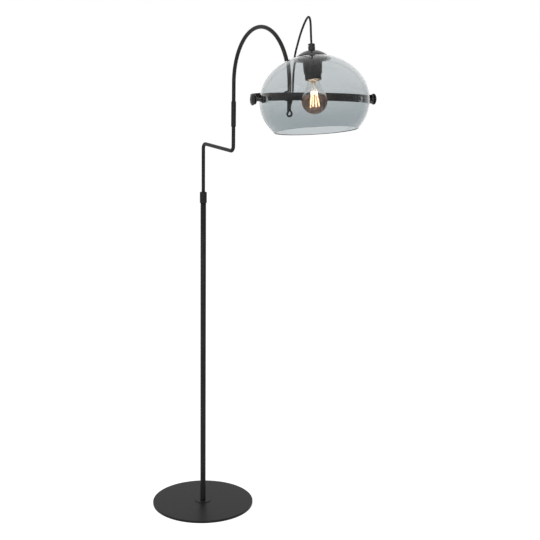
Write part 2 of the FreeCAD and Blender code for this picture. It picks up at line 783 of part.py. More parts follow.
def band():
    """Bent steel band: a flat at the block, two quarter circles and round tabs on the hinge line."""
    body = doc.addObject("PartDesign::Body", "band")
    sketch = new_sketch(body, "XY_Plane", "band_outline", "0 - band_height / 2")
    half = "band_flat / 2"
    outer = "(band_bend + band_thickness / 2)"
    inner = "(band_bend - band_thickness / 2)"
    start = f"(block_radius + {outer})"
    chain(sketch, [
        ("block_radius", f"0 - {half}"),
        ("block_radius", half),
        (f"{start} - {outer} * cos(45)", f"{half} + {outer} * sin(45)", "via"),
        (start, TAB_OUTER),
        (start, TAB_INNER),
        (f"{start} - {inner} * cos(45)", f"{half} + {inner} * sin(45)", "via"),
        (BAND_FRONT, half),
        (BAND_FRONT, f"0 - {half}"),
        (f"{start} - {inner} * cos(45)", f"0 - {half} - {inner} * sin(45)", "via"),
        (start, f"0 - {TAB_INNER}"),
        (start, f"0 - {TAB_OUTER}"),
        (f"{start} - {outer} * cos(45)", f"0 - {half} - {outer} * sin(45)", "via"),
    ])
    strip = body.newObject("PartDesign::Pad", "band_strip")
    strip.Profile = (sketch, [""])
    bind(strip, "Length", "band_height")
    doc.recompute()
    for side, name in ((-1, "left"), (1, "right")):
        tab = new_sketch(body, "XZ_Plane", f"band_tab_{name}", f"{-side} * {TAB_OUTER}")
        add_circle(tab, "hinge_reach", "0", "tab_radius")
        disc = body.newObject("PartDesign::Pad", f"band_disc_{name}")
        disc.Profile = (tab, [""])
        bind(disc, "Length", "band_thickness")
        disc.Reversed = side < 0
        doc.recompute()
    for side, name in ((-1, "left"), (1, "right")):
        hole = new_sketch(body, "XZ_Plane", f"band_hole_{name}", f"{-side} * {TAB_OUTER}")
        add_circle(hole, "hinge_reach", "0", "thread_radius + running_fit")
        doc.recompute()
        whole = body.Shape.Volume
        cut = body.newObject("PartDesign::Pocket", f"band_bore_{name}")
        cut.Profile = (hole, [""])
        bind(cut, "Length", "band_thickness * 2")
        cut.Reversed = side > 0
        doc.recompute()
        if body.Shape.Volume >= whole:
            raise RuntimeError("a hole of the band cuts nothing")
    on_bracket(keep(body, "band"))


def clamp_block():
    """Round block brazed behind the band, bored for the arm tube and tapped for the clamp's stud."""
    solid = cylinder("block_solid", "block_radius", "block_height", z="0 - block_height / 2")
    bore = cylinder("block_bore", "rod_radius + running_fit", "block_height", z="0 - block_height / 2")
    shell = boolean("Cut", "block_shell", solid, bore)
    tapped = cylinder("block_tapped", "thread_radius + running_fit", "2 * block_radius", pitch="-90")
    pierced = boolean("Cut", "block_pierced", shell, tapped)
    pad = doc.addObject("Part::Box", "block_pad")
    bind(pad, "Length", "block_radius - rod_radius - band_thickness / 2")
    bind(pad, "Width", "block_radius * 2")
    bind(pad, "Height", "block_height")
    place(pad, "rod_radius + band_thickness / 2", "0 - block_radius", "0 - block_height / 2")
    on_bracket(keep(boolean("Fuse", "clamp_block", pierced, pad), "clamp_block"))


def mushroom(label, face):
    """Mushroom knob about Z: a neck from the face given, a rim and a domed crown."""
    rim_low = f"({face} + knob_neck)"
    rim_high = f"({rim_low} + knob_rim)"
    crown = f"({face} + knob_length)"
    brow = "(knob_radius - knob_edge)"
    rise = "(knob_length - knob_neck - knob_rim - knob_edge)"
    dome = f"(({brow} ^ 2 + {rise} ^ 2) / (2 * {rise}))"
    return turned(label, [
        ("insert_radius + fixed_fit", face),
        ("knob_neck_radius", face),
        ("knob_neck_radius", rim_low),
        ("knob_radius - knob_edge", rim_low),
        ("knob_radius", f"{rim_low} + knob_edge"),
        ("knob_radius", rim_high),
        ("knob_radius - knob_edge * (1 - cos(45))", f"{rim_high} + knob_edge * sin(45)", "via"),
        (brow, f"{rim_high} + knob_edge"),
        (f"{brow} / 2", f"{crown} - {dome} + sqrt({dome} ^ 2 - ({brow} / 2) ^ 2)", "via"),
        ("0", crown),
        ("0", f"{face} + insert_length"),
        ("insert_radius + fixed_fit", f"{face} + insert_length"),
    ])


def clamp_knob():
    """Knob behind the arm's end; its stud presses on the tube."""
    face = "(block_radius + running_gap)"
    on_bracket_back(mushroom("clamp_knob", face))
    stud = ring("clamp_stud", "0", "thread_radius", "rod_radius + running_gap",
                f"{face} + insert_length - running_gap")
    on_bracket_back(stud)
    insert = ring("clamp_insert", "thread_radius + fixed_fit", "insert_radius", face,
                  f"{face} + insert_length - running_gap")
    on_bracket_back(insert)


def pendant_cord():
    """Free cord from the arm's end, looped behind it and up over to the cord grip."""
    slant = FreeCAD.Rotation(number("bracket_swing"), number("shade_tilt"), 0)
    hinge = FreeCAD.Vector(number(HINGE_X), number(HINGE_Y), number(HINGE_Z))
    end = hinge + slant.multVec(FreeCAD.Vector(0, 0, number(GRIP_TOP)))
    tip = FreeCAD.Vector(number(ARM_TIP_X), 0, number("arm_end_height"))
    route = [tuple(tip + FreeCAD.Vector(*offset)) for offset in CORD_ROUTE] + [tuple(end)]
    print("cord ends at", " ".join(f"{value:.2f}" for value in end))
    cord("pendant_cord", route, number("cord_radius"))


# ---------------------------------------------------------------- shade pivots

def pivots():
    """Both sides of the hinge line: knob, insert, stud, grommet, inner washer and nut."""
    for side, name in ((-1, "left"), (1, "right")):
        on_pivot(mushroom(f"{name}_knob", KNOB_FACE), side)
        insert_top = f"({KNOB_FACE} + insert_length - running_gap)"
        insert = ring(f"{name}_knob_insert", "thread_radius + running_fit", "insert_radius",
                      KNOB_FACE, insert_top)
        on_pivot(insert, side)
        washer_high = f"({GLASS_BORE} - inner_washer_gap)"
        nut_high = f"({washer_high} - inner_washer)"
        nut_low = f"({nut_high} - nut_height)"
        stud = turned(f"{name}_stud", [
            ("0", f"{nut_low} - stud_tail"),
            ("stud_radius", f"{nut_low} - stud_tail"),
            ("stud_radius", f"{TAB_INNER} - running_gap"),
            ("thread_radius", f"{TAB_INNER} - running_gap"),
            ("thread_radius", insert_top),
            ("0", insert_top),
        ])
        on_pivot(stud, side)
        flange = "(glass_radius + glass_contact)"
        grommet = turned(f"{name}_grommet", [
            ("stud_radius + fixed_fit", washer_high),
            ("pivot_hole_radius - fixed_fit", washer_high),
            ("pivot_hole_radius - fixed_fit", flange),
            ("grommet_radius", flange),
            ("grommet_radius", f"{flange} + grommet_flange"),
            ("stud_radius + fixed_fit", f"{flange} + grommet_flange"),
        ])
        on_pivot(grommet, side)
        washer = ring(f"{name}_inner_washer", "stud_radius + fixed_fit", "inner_washer_radius",
                      nut_high, washer_high)
        on_pivot(washer, side)
        nut = hexagon_nut(f"{name}_nut", "nut_width", "nut_height", nut_low, "stud_radius + fixed_fit")
        on_pivot(nut, side)


# ---------------------------------------------------------------- glass and cap

def ellipse_arc(radius, height, start, finish, steps):
    """Corners along the dome's ellipse between two angles, every other one an arc's middle."""
    points = []
    for step in range(steps + 1):
        angle = f"({start} + ({finish} - {start}) * {step} / {steps})"
        point = (f"{radius} * cos({angle})", f"{height} * sin({angle}) - glass_drop")
        points.append(point if step % 2 == 0 else point + ("via",))
    return points


def glass_shade():
    """Blown dome: an ellipse turned about Z, cut open at the crown and at the rim."""
    cut = "(glass_rim_drop - glass_drop)"
    outside = ellipse_arc("glass_radius", "glass_height", f"(-asin({cut} / glass_height))",
                          "acos(glass_hole_radius / glass_radius)", 8)
    inside = ellipse_arc(GLASS_BORE, GLASS_BORE_HEIGHT, f"acos(glass_hole_radius / {GLASS_BORE})",
                         f"(-asin({cut} / {GLASS_BORE_HEIGHT}))", 8)
    blank = turned_body("glass_blank", outside + inside)
    holes = cylinder("pivot_holes", "pivot_hole_radius", "2 * glass_radius + 2 * glass_wall",
                     y="glass_radius + glass_wall", roll="90")
    on_shade(keep(boolean("Cut", "glass_shade", blank, holes), "glass_shade"))


def glass_bore_at(radius):
    """Height of the glass's inner face at a radius."""
    return f"({GLASS_BORE_HEIGHT} * sqrt(1 - ({radius} / {GLASS_BORE}) ^ 2) - glass_drop)"


def seat_gasket():
    """Rubber ring between the cap's ledge and the glass."""
    inner = "(glass_hole_radius + cap_neck_gap)"
    on_shade(turned("seat_gasket", [
        (inner, f"{glass_bore_at(inner)} - glass_contact"),
        (inner, f"{glass_bore_at(inner)} - glass_contact - gasket_thickness"),
        ("gasket_radius", f"{glass_bore_at('gasket_radius')} - glass_contact - gasket_thickness"),
        ("gasket_radius", f"{glass_bore_at('gasket_radius')} - glass_contact"),
    ]))


def shade_cap():
    """Spun metal cap: a dome over the crown hole, a neck through it and a ledge under the glass."""
    neck = "(glass_hole_radius - cap_neck_gap)"
    bore = "(nipple_radius + fixed_fit)"
    shoulder = f"(glass_height * sqrt(1 - (glass_hole_radius / glass_radius) ^ 2) - glass_drop + cap_shoulder)"
    under = "(2 * glass_contact + gasket_thickness)"
    ledge_in = f"({glass_bore_at('glass_hole_radius')} - {under})"
    ledge_out = f"({glass_bore_at('cap_radius')} - {under})"
    bulge = "(cap_crown - cap_bulge_drop)"
    on_shade(turned("shade_cap", [
        (bore, "cap_crown"),
        ("grip_radius", "cap_crown"),
        ("cap_bulge_radius", bulge, "via"),
        (neck, shoulder),
        (neck, ledge_in),
        ("cap_radius", ledge_out),
        ("cap_radius", f"{ledge_out} - cap_rim_drop"),
        ("cap_radius - cap_wall", f"{ledge_out} - cap_rim_drop"),
        (f"{neck} - cap_wall", f"{ledge_in} - cap_wall"),
        (f"{neck} - cap_wall", f"{shoulder} - cap_wall / 2"),
        ("cap_bulge_radius - cap_wall / 2", f"{bulge} - cap_wall", "via"),
        ("grip_radius", "cap_crown - cap_wall"),
        (bore, "cap_crown - cap_wall"),
    ]))


def cord_grip():
    """Moulded grip on the cap: nipple thread below, cord bore above, a cross hole for its screw."""
    bore = "(cord_radius + cord_clearance)"
    blank = turned_body("grip_blank", [
        ("nipple_radius + fixed_fit", "cap_crown"),
        ("grip_radius", "cap_crown"),
        ("grip_radius", f"{GRIP_TOP} - grip_edge"),
        ("grip_radius - grip_edge", GRIP_TOP),
        (bore, GRIP_TOP),
        (bore, "cap_crown + nipple_grip"),
        ("nipple_radius + fixed_fit", "cap_crown + nipple_grip"),
    ])
    hole = cylinder("grip_hole", "grip_screw_radius + fixed_fit", "grip_radius * 2",
                    z="cap_crown + grip_screw_rise", roll="90")
    on_shade(keep(boolean("Cut", "cord_grip", blank, hole), "cord_grip"))


def grip_screw():
    """Nylon screw in the grip's side, which pinches the cord."""
    low = "(cord_radius + fixed_fit)"
    screw = doc.addObject("Part::Cylinder", "grip_screw_blank")
    bind(screw, "Radius", "grip_screw_radius")
    bind(screw, "Height", f"grip_radius + grip_screw_proud - {low}")
    bind(screw, "Placement.Base.z", low)
    slot = doc.addObject("Part::Box", "grip_slot")
    bind(slot, "Length", "grip_screw_radius * 3")
    bind(slot, "Width", "grip_screw_radius / 3")
    bind(slot, "Height", "grip_screw_proud * 2")
    place(slot, "0 - grip_screw_radius * 1.5", "0 - grip_screw_radius / 6",
          "grip_radius + grip_screw_proud / 2")
    item = boolean("Cut", "grip_screw_cut", screw, slot)
    rise = "(cap_crown + grip_screw_rise)"
    x = f"{HINGE_X} + {rise} * sin(shade_tilt) * cos(bracket_swing)"
    y = f"{HINGE_Y} + {rise} * sin(shade_tilt) * sin(bracket_swing)"
    place(item, x, y, f"{HINGE_Z} + {rise} * cos(shade_tilt)", "bracket_swing", "shade_tilt", "90")
    keep(item, "grip_screw")


def nipple():
    """Threaded tube through the cap: it joins the grip, the cap and the lampholder."""
    on_shade(ring("nipple", "nipple_radius - nipple_wall", "nipple_radius",
                  "holder_top - holder_wall - holder_round", "cap_crown + nipple_grip - running_gap"))


def cap_nut():
    """Nut under the cap's crown."""
    on_shade(hexagon_nut("cap_nut", "cap_nut_width", "cap_nut_height",
                         "cap_crown - cap_wall - cap_nut_height", "nipple_radius + fixed_fit"))


# ---------------------------------------------------------------- lampholder

def lampholder_cap():
    """Upper half of the lampholder, closed round the nipple."""
    inner = f"({SPIGOT_RADIUS} + fixed_fit)"
    on_shade(turned("lampholder_cap", [
        ("nipple_radius + fixed_fit", "holder_top"),
        ("holder_top_radius - holder_round", "holder_top"),
        ("holder_top_radius - holder_round * (1 - sin(45))", "holder_top - holder_round * (1 - cos(45))",
         "via"),
        ("holder_top_radius", "holder_top - holder_round"),
        ("holder_joint_radius", "holder_joint"),
        (inner, "holder_joint"),
        (inner, "block_top + holder_wall"),
        ("holder_mouth_radius", "holder_top - holder_wall"),
        ("nipple_radius + fixed_fit", "holder_top - holder_wall"),
    ]))


def lampholder_skirt():
    """Lower half: a spigot in the cap, a tapered body, a ledge and the ring round the bulb's neck."""
    shoulder = "(holder_joint - holder_groove)"
    inner = "(holder_ring_radius - holder_wall)"
    on_shade(turned("lampholder_skirt", [
        (SPIGOT_RADIUS, "block_top"),
        (SPIGOT_RADIUS, shoulder),
        ("holder_joint_radius", shoulder),
        ("holder_ledge_radius", "holder_ledge"),
        ("holder_ring_radius", "holder_ledge - holder_round / 2"),
        ("holder_ring_radius - fixed_fit", "holder_bottom + holder_round"),
        ("holder_ring_radius - holder_round * (1 - sin(45))", "holder_bottom + holder_round * (1 - cos(45))",
         "via"),
        ("holder_ring_radius - holder_round", "holder_bottom"),
        ("holder_mouth_radius", "holder_bottom"),
        ("holder_mouth_radius", "holder_bottom + holder_wall"),
        (inner, "holder_bottom + holder_wall + holder_round"),
        (inner, "holder_ledge"),
        ("holder_ledge_radius - holder_wall", "holder_ledge + holder_round"),
        ("holder_ledge_radius - holder_wall", "block_top"),
    ]))


def contact_block():
    """Ceramic block that carries the threaded shell and the contacts, held on the skirt's wall."""
    low = "(block_top - contact_block_height)"
    on_shade(turned("contact_block", [
        ("0", low),
        ("contact_block_radius", low),
        ("contact_block_radius", f"{low} + block_flange_rise"),
        ("holder_ledge_radius - holder_wall - fixed_fit", f"{low} + block_flange_rise"),
        ("holder_ledge_radius - holder_wall - fixed_fit", f"{low} + block_flange_rise + block_flange"),
        ("contact_block_radius", f"{low} + block_flange_rise + block_flange"),
        ("contact_block_radius", "block_top"),
        ("0", "block_top"),
    ]))


def threaded_shell():
    """Brass shell that takes the bulb's thread, held under the block."""
    high = "(block_top - contact_block_height - fixed_fit)"
    on_shade(ring("threaded_shell", "shell_bore_radius", "shell_bore_radius + shell_wall",
                  f"{high} - shell_length", high))


def centre_contact():
    """Brass contact under the block, which the bulb's tip meets."""
    high = "(block_top - contact_block_height)"
    on_shade(ring("centre_contact", "0", "bulb_contact_radius", f"{BULB_TIP} + fixed_fit", high))


def terminal_screws():
    """Two terminal screws on top of the block."""
    group = doc.addObject("Part::Compound", "terminal_screws")
    screws = []
    for side, name in ((-1, "left"), (1, "right")):
        screws.append(cylinder(f"terminal_{name}", "terminal_radius", "terminal_height",
                               y=f"{side} * terminal_spread", z="block_top"))
    group.Links = screws
    on_shade(keep(group, "terminal_screws"))


def holder_lead():
    """End of the cord inside the grip and the nipple, down to the block."""
    on_shade(ring("holder_lead", "0", "cord_radius", "block_top", f"{GRIP_TOP} - fixed_fit"))


# ---------------------------------------------------------------- bulb

def bulb_outline(gap):
    """Outline of the bulb from its neck to its lowest point, drawn in by the gap."""
    radius = f"(bulb_radius - {gap})"
    neck = f"(bulb_neck_radius - {gap})"
    shoulder_x = f"({radius} * cos(bulb_shoulder_angle))"
    shoulder_z = f"({radius} * sin(bulb_shoulder_angle) - bulb_centre_drop)"
    waist_x = f"(({neck} + {shoulder_x}) / 2 - bulb_waist)"
    waist_z = f"((bulb_cap_bottom + {shoulder_z}) / 2 - bulb_waist_drop)"
    return [
        (neck, "bulb_neck_top"),
        (neck, "bulb_cap_bottom"),
        (waist_x, waist_z, "via"),
        (shoulder_x, shoulder_z),
        (shoulder_x, f"0 - {radius} * sin(bulb_shoulder_angle) - bulb_centre_drop", "via"),
        ("0", f"0 - {radius} - bulb_centre_drop"),
    ]


def bulb_glass():
    """Blown bulb, open at its neck."""
    inside = list(reversed(bulb_outline("bulb_wall")))
    on_shade(turned("bulb_glass", bulb_outline("0") + inside))


def bulb_cap():
    """Threaded cap of the bulb round its neck, with its insulator and tip contact."""
    outer = "bulb_cap_radius"
    on_shade(turned("bulb_cap", [
        ("bulb_neck_radius + fixed_fit", "bulb_cap_bottom"),
        (outer, "bulb_cap_bottom"),
        (outer, f"{BULB_CAP_TOP} - bulb_cap_taper"),
        (f"{outer} - bulb_cap_taper", BULB_CAP_TOP),
        (f"{outer} - bulb_cap_taper - bulb_cap_lip", BULB_CAP_TOP),
        (f"{outer} - bulb_cap_wall", f"{BULB_CAP_TOP} - bulb_cap_taper - bulb_cap_lip"),
        ("bulb_neck_radius + fixed_fit", f"{BULB_CAP_TOP} - 2 * bulb_cap_taper"),
    ]))
    on_shade(turned("bulb_insulator", [
        ("0", BULB_CAP_TOP),
        (f"{outer} - bulb_cap_taper - bulb_cap_lip / 2", BULB_CAP_TOP),
        ("bulb_contact_radius", BULB_CONTACT),
        ("0", BULB_CONTACT),
    ]))
    on_shade(ring("bulb_contact", "0", "bulb_contact_radius", BULB_CONTACT, BULB_TIP))


def bulb_stem():
    """Glass stem that carries the filaments, sealed into the neck."""
    on_shade(turned("bulb_stem", [
        ("0", "bulb_neck_top"),
        ("bulb_neck_radius - bulb_wall - fixed_fit", "bulb_neck_top"),
        ("bulb_neck_radius - bulb_wall - fixed_fit", "bulb_neck_top - stem_foot"),
        ("stem_radius * 2", "bulb_neck_top - stem_flare"),
        ("stem_radius", "filament_top + filament_radius * 2"),
        ("stem_radius", "bulb_neck_top - stem_length"),
        ("0", "bulb_neck_top - stem_length"),
    ]))


def filaments():
    """Filament sticks round the stem, leaning out towards their lower ends, and their wires."""
    sticks = []
    wires = []
    for index in range(FILAMENT_COUNT):
        turn = 360.0 / FILAMENT_COUNT * index + 45
        stick = cylinder(f"stick_{index}", "filament_radius", "filament_length")
        place(stick, f"filament_inset * cos({turn})", f"filament_inset * sin({turn})", "filament_top",
              str(turn), "180 - filament_lean")
        sticks.append(stick)
        reach = "(filament_inset + filament_length * sin(filament_lean))"
        low = "(filament_top - filament_length * cos(filament_lean))"
        foot = cylinder(f"foot_wire_{index}", "support_radius", f"{reach} - stem_radius + support_radius")
        place(foot, f"stem_radius * cos({turn})", f"stem_radius * sin({turn})",
              f"{low} - filament_radius * sin(filament_lean) - support_radius - fixed_fit", str(turn), "90")
        wires.append(foot)
        head = cylinder(f"head_wire_{index}", "support_radius", "filament_inset - stem_radius + support_radius")
        place(head, f"stem_radius * cos({turn})", f"stem_radius * sin({turn})",
              "filament_top + support_radius * 2 + running_gap", str(turn), "90")
        wires.append(head)
    for label, members in (("bulb_filaments", sticks), ("filament_wires", wires)):
        group = doc.addObject("Part::Compound", label)
        group.Links = members
        on_shade(keep(group, label))


def build():
    base_pad()
    base_plate()
    base_bolt()
    pole_foot_insert()
    foot_rosette()
    pole_tube()
    cord_bushing()
    collar()
    swivel_bush()
    pivot_seat()
    lead_in_pole()
    crank_tube()
    crank_ring()
    lead_in_crank()
    swivel_sleeve()
    sleeve_liner()
    thrust_washer()
    arm_tube()
    arm_end_bush()
    lead_in_arm()
    band()
    clamp_block()
    clamp_knob()
    pendant_cord()
    pivots()
    glass_shade()
    seat_gasket()
    shade_cap()
    cord_grip()
    grip_screw()
    nipple()
    cap_nut()
    lampholder_cap()
    lampholder_skirt()
    contact_block()
    threaded_shell()
    centre_contact()
    terminal_screws()
    holder_lead()
    bulb_glass()
    bulb_cap()
    bulb_stem()
    filaments()


build()
doc.recompute()

for item in doc.Objects:
    if "Invalid" in item.State or "Error" in item.State:
        raise RuntimeError(f"{item.Label} failed: {item.State}")
for item in parts:
    if item.Shape.isNull() or not item.Shape.isValid() or not item.Shape.Solids:
        raise RuntimeError(f"{item.Label} has no valid solid")

os.makedirs("parts", exist_ok=True)
for item in parts:
    item.Shape.exportStep(f"parts/{item.Label}.step")
print(len(parts), "sub-parts written")
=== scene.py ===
import json
import math

import bmesh
import bpy
import numpy as np
from mathutils import Matrix, Vector


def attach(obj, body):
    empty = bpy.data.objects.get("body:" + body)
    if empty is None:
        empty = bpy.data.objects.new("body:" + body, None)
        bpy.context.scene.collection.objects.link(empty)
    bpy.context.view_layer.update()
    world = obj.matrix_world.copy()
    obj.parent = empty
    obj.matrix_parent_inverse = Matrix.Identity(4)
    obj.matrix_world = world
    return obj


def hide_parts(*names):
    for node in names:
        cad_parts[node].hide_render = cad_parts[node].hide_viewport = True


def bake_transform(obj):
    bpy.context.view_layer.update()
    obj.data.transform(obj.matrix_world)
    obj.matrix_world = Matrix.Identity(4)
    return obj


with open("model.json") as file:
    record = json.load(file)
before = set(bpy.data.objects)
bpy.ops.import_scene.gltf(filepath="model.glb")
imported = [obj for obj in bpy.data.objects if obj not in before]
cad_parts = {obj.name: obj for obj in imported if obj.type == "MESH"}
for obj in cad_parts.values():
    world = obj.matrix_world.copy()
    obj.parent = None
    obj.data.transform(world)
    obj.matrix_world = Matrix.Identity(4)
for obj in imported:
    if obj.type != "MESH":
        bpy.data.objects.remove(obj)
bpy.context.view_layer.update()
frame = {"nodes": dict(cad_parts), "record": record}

# Floor lamp: coated steel base, pole, crank and arched arm, and an open smoked glass dome on a bent
# band with three hand knobs. Sizes are in millimetres, as the part holds them, and a mesh is put into
# metres when it is made. A corner's third number in an outline is the radius that rounds it.
MM = 0.001

# Clearance at which one piece's surface is kept off another's
FIT = 0.05

PLATE_LOW, PLATE_TOP, PLATE_RADIUS = 1.0, 8.0, 150.0
BOLT_HOLE, COUNTERSINK_RADIUS, COUNTERSINK_TOP = 5.25, 10.0, 5.75
ROSETTE_RADIUS, ROSETTE_TOP = 24.0, 9.5
POLE_RADIUS, POLE_WALL, POLE_TOP = 8.0, 1.5, 926.5
INLET_RADIUS, INLET_HEIGHT = 4.05, 30.0
COLLAR_LOW, COLLAR_TOP, COLLAR_RADIUS, COLLAR_BORE = 914.5, 945.5, 10.0, 6.5

ROD_RADIUS, ROD_WALL, ROD_BEND = 5.0, 1.0, 14.0
CRANK_FOOT, BAR_NEAR, BAR_FAR, CRANK_HEAD, CRANK_REACH = 800.3, 1083.0, 1077.0, 1175.0, 180.0
SLEEVE_LOW, SLEEVE_TOP, SLEEVE_RADIUS, SLEEVE_STEP, SLEEVE_BORE = 1143.0, 1209.0, 6.5, 1176.8, 5.6
ARM_SPRING, ARCH_RADIUS, ARM_END = 1258.0, 143.0, 1202.0
ARM_TIP = CRANK_REACH + 2 * ARCH_RADIUS
STRAIGHT_LEAD = 20.0
BUSH_BORE, BUSH_MOUTH, BUSH_RADIUS, BUSH_LENGTH, BUSH_FLANGE = 3.6, 4.1, 3.95, 8.0, 1.0

HINGE_HEIGHT, HINGE_REACH = 1237.0, 145.0
SWING, TILT = math.radians(-7.0), math.radians(-10.64)
BLOCK_RADIUS = 8.0
BAND_HALF_HEIGHT, BAND_THICKNESS, BAND_FLAT, BAND_BEND, BAND_EDGE = 9.75, 2.0, 24.0, 136.0, 0.35
TAB_RADIUS, TAB_INNER, TAB_OUTER = 10.75, 147.0, 149.0
KNOB_NECK_RADIUS, KNOB_RADIUS, KNOB_NECK, KNOB_RIM, KNOB_EDGE, KNOB_LENGTH = 8.0, 13.0, 2.5, 2.2, 1.2, 9.0
INSERT_RADIUS, INSERT_LENGTH, RUNNING_GAP = 4.5, 5.5, 0.3
STUD_RADIUS, THREAD_RADIUS, STUD_LOW = 3.75, 3.0, 116.05
GROMMET_RADIUS, GROMMET_LOW, GROMMET_TOP, WASHER_TOP = 7.75, 127.05, 130.05, 124.05

GLASS_RADIUS, GLASS_HEIGHT, GLASS_DROP, GLASS_WALL = 127.0, 106.0, 4.0, 2.2
GLASS_HOLE, GLASS_RIM_DROP, GLASS_EDGE, PIVOT_HOLE = 36.5, 72.4, 0.6, 4.6
CAP_CROWN, CAP_RADIUS, CAP_WALL, CAP_NECK, CAP_SHOULDER = 112.0, 43.0, 1.2, 35.8, 98.73
CAP_LEDGE_IN, CAP_LEDGE_OUT = 94.25, 92.44
# Where the cap's bulge passes: its share of the neck's radius and of the rise to the crown
CAP_BULGE_OUT, CAP_BULGE_UP = 0.62, 0.68
GRIP_RADIUS, GRIP_TOP, GRIP_BORE, GRIP_WEB, NIPPLE_BORE = 8.0, 127.0, 2.8, 6.0, 5.05
HOLDER_TOP, HOLDER_JOINT, HOLDER_GROOVE, HOLDER_LEDGE, HOLDER_LOW = 90.0, 76.5, 2.2, 59.0, 44.0
HOLDER_TOP_RADIUS, HOLDER_JOINT_RADIUS, HOLDER_LEDGE_RADIUS, HOLDER_RING_RADIUS = 22.4, 22.0, 20.8, 19.0
HOLDER_MOUTH, SPIGOT_RADIUS, SPIGOT_TOP = 14.4, 21.0, 82.0
HOLDER_WALL, HOLDER_RING_BORE, HOLDER_BORE, HOLDER_DRAFT = 1.8, 17.2, 19.0, 0.05

BULB_RADIUS, BULB_DROP, BULB_NECK, BULB_CAP_LOW, BULB_NECK_TOP = 30.0, 4.0, 12.4, 45.0, 47.0
BULB_SHOULDER, BULB_WALL, BULB_WAIST, BULB_WAIST_DROP = math.radians(31.0), 0.8, 1.7, 0.6
MIRROR_EDGE, MIRROR_FADE, MIRROR_FULL, MIRROR_WANDER = 8.5, 2.2, 0.6, 1.6
STEM_RADIUS, STEM_LOW, STEM_FLARE, STEM_NECK = 2.2, -20.5, 1.5, 12.0
FILAMENT_COUNT, FILAMENT_RADIUS, FILAMENT_LENGTH, FILAMENT_TOP = 4, 1.0, 36.0, 18.0
FILAMENT_INSET, FILAMENT_LEAN = 5.5, math.radians(9.0)

CORD_RADIUS = 2.5

# Strength of the floor's own light for the eye, mirrors and glass, which brings its lit colour to white,
# and half the floor's side in metres
FLOOR_LIFT, FLOOR_HALF = 0.76, 30.0

# Places where pieces stand: the bracket's, the shade's and each knob's own axes
UPRIGHT = Matrix.Identity(4)
SLEEVE_AXIS = Matrix.Translation((CRANK_REACH, 0, 0))
TIP_AXIS = Matrix.Translation((ARM_TIP, 0, 0))
BRACKET = Matrix.Translation((ARM_TIP, 0, HINGE_HEIGHT)) @ Matrix.Rotation(SWING, 4, "Z")
BEHIND = BRACKET @ Matrix.Rotation(math.radians(-90), 4, "Y")
SHADE = BRACKET @ Matrix.Translation((HINGE_REACH, 0, 0)) @ Matrix.Rotation(TILT, 4, "Y")
PIVOTS = {
    "left": SHADE @ Matrix.Rotation(math.radians(90), 4, "X"),
    "right": SHADE @ Matrix.Rotation(math.radians(-90), 4, "X"),
}


# ---------------------------------------------------------------- camera

def camera():
    """Camera of the photograph: its place, its three axes and the lens, for a square picture."""
    heading, pitch, roll = math.radians(59.366), math.radians(12.562), math.radians(1.003)
    level = Vector((math.cos(heading), math.sin(heading), 0))
    forward = Vector((-math.sin(heading), math.cos(heading), 0))
    ahead = math.cos(pitch) * forward - math.sin(pitch) * Vector((0, 0, 1))
    above = level.cross(ahead)
    across = math.cos(roll) * level + math.sin(roll) * above
    upward = math.cos(roll) * above - math.sin(roll) * level
    data = bpy.data.cameras.new("photo_camera")
    data.sensor_width = 36.0
    data.lens = 72.222
    data.shift_x, data.shift_y = -0.02347, 0.02615
    data.clip_start, data.clip_end = 0.05, 60.0
    viewer = bpy.data.objects.new("photo_camera", data)
    bpy.context.scene.collection.objects.link(viewer)
    turn = Matrix((across, upward, -ahead)).transposed().to_4x4()
    viewer.matrix_world = Matrix.Translation(Vector((2749.8, -1361.2, 1363.1)) * MM) @ turn
    bpy.context.scene.camera = viewer


# ---------------------------------------------------------------- materials

def linear(colour):
    """sRGB hex to linear RGBA."""
    parts = [int(colour[index:index + 2], 16) / 255 for index in (0, 2, 4)]
    return [part / 12.92 if part <= 0.04045 else ((part + 0.055) / 1.055) ** 2.4 for part in parts] + [1.0]


def add(tree, kind, settings=None, **links):
    """One node: settings name its properties or sockets, links name sockets fed by another output."""
    node = tree.nodes.new(kind)
    for name, value in (settings or {}).items():
        if isinstance(name, int) or name in node.inputs:
            node.inputs[name].default_value = value
        else:
            setattr(node, name, value)
    for name, source in links.items():
        tree.links.new(source, node.inputs[name.replace("_", " ")])
    return node


def new_material(name):
    """An empty material with its output, its Principled surface and Object coordinates."""
    material = bpy.data.materials.new(name)
    material.use_nodes = True
    tree = material.node_tree
    tree.nodes.clear()
    surface = add(tree, "ShaderNodeBsdfPrincipled")
    add(tree, "ShaderNodeOutputMaterial", Surface=surface.outputs["BSDF"])
    place = add(tree, "ShaderNodeTexCoord").outputs["Object"]
    return material, tree, surface, place


def grain(size):
    """Noise scale whose features are the given size in millimetres, on coordinates in metres."""
    return 1 / (size * MM)


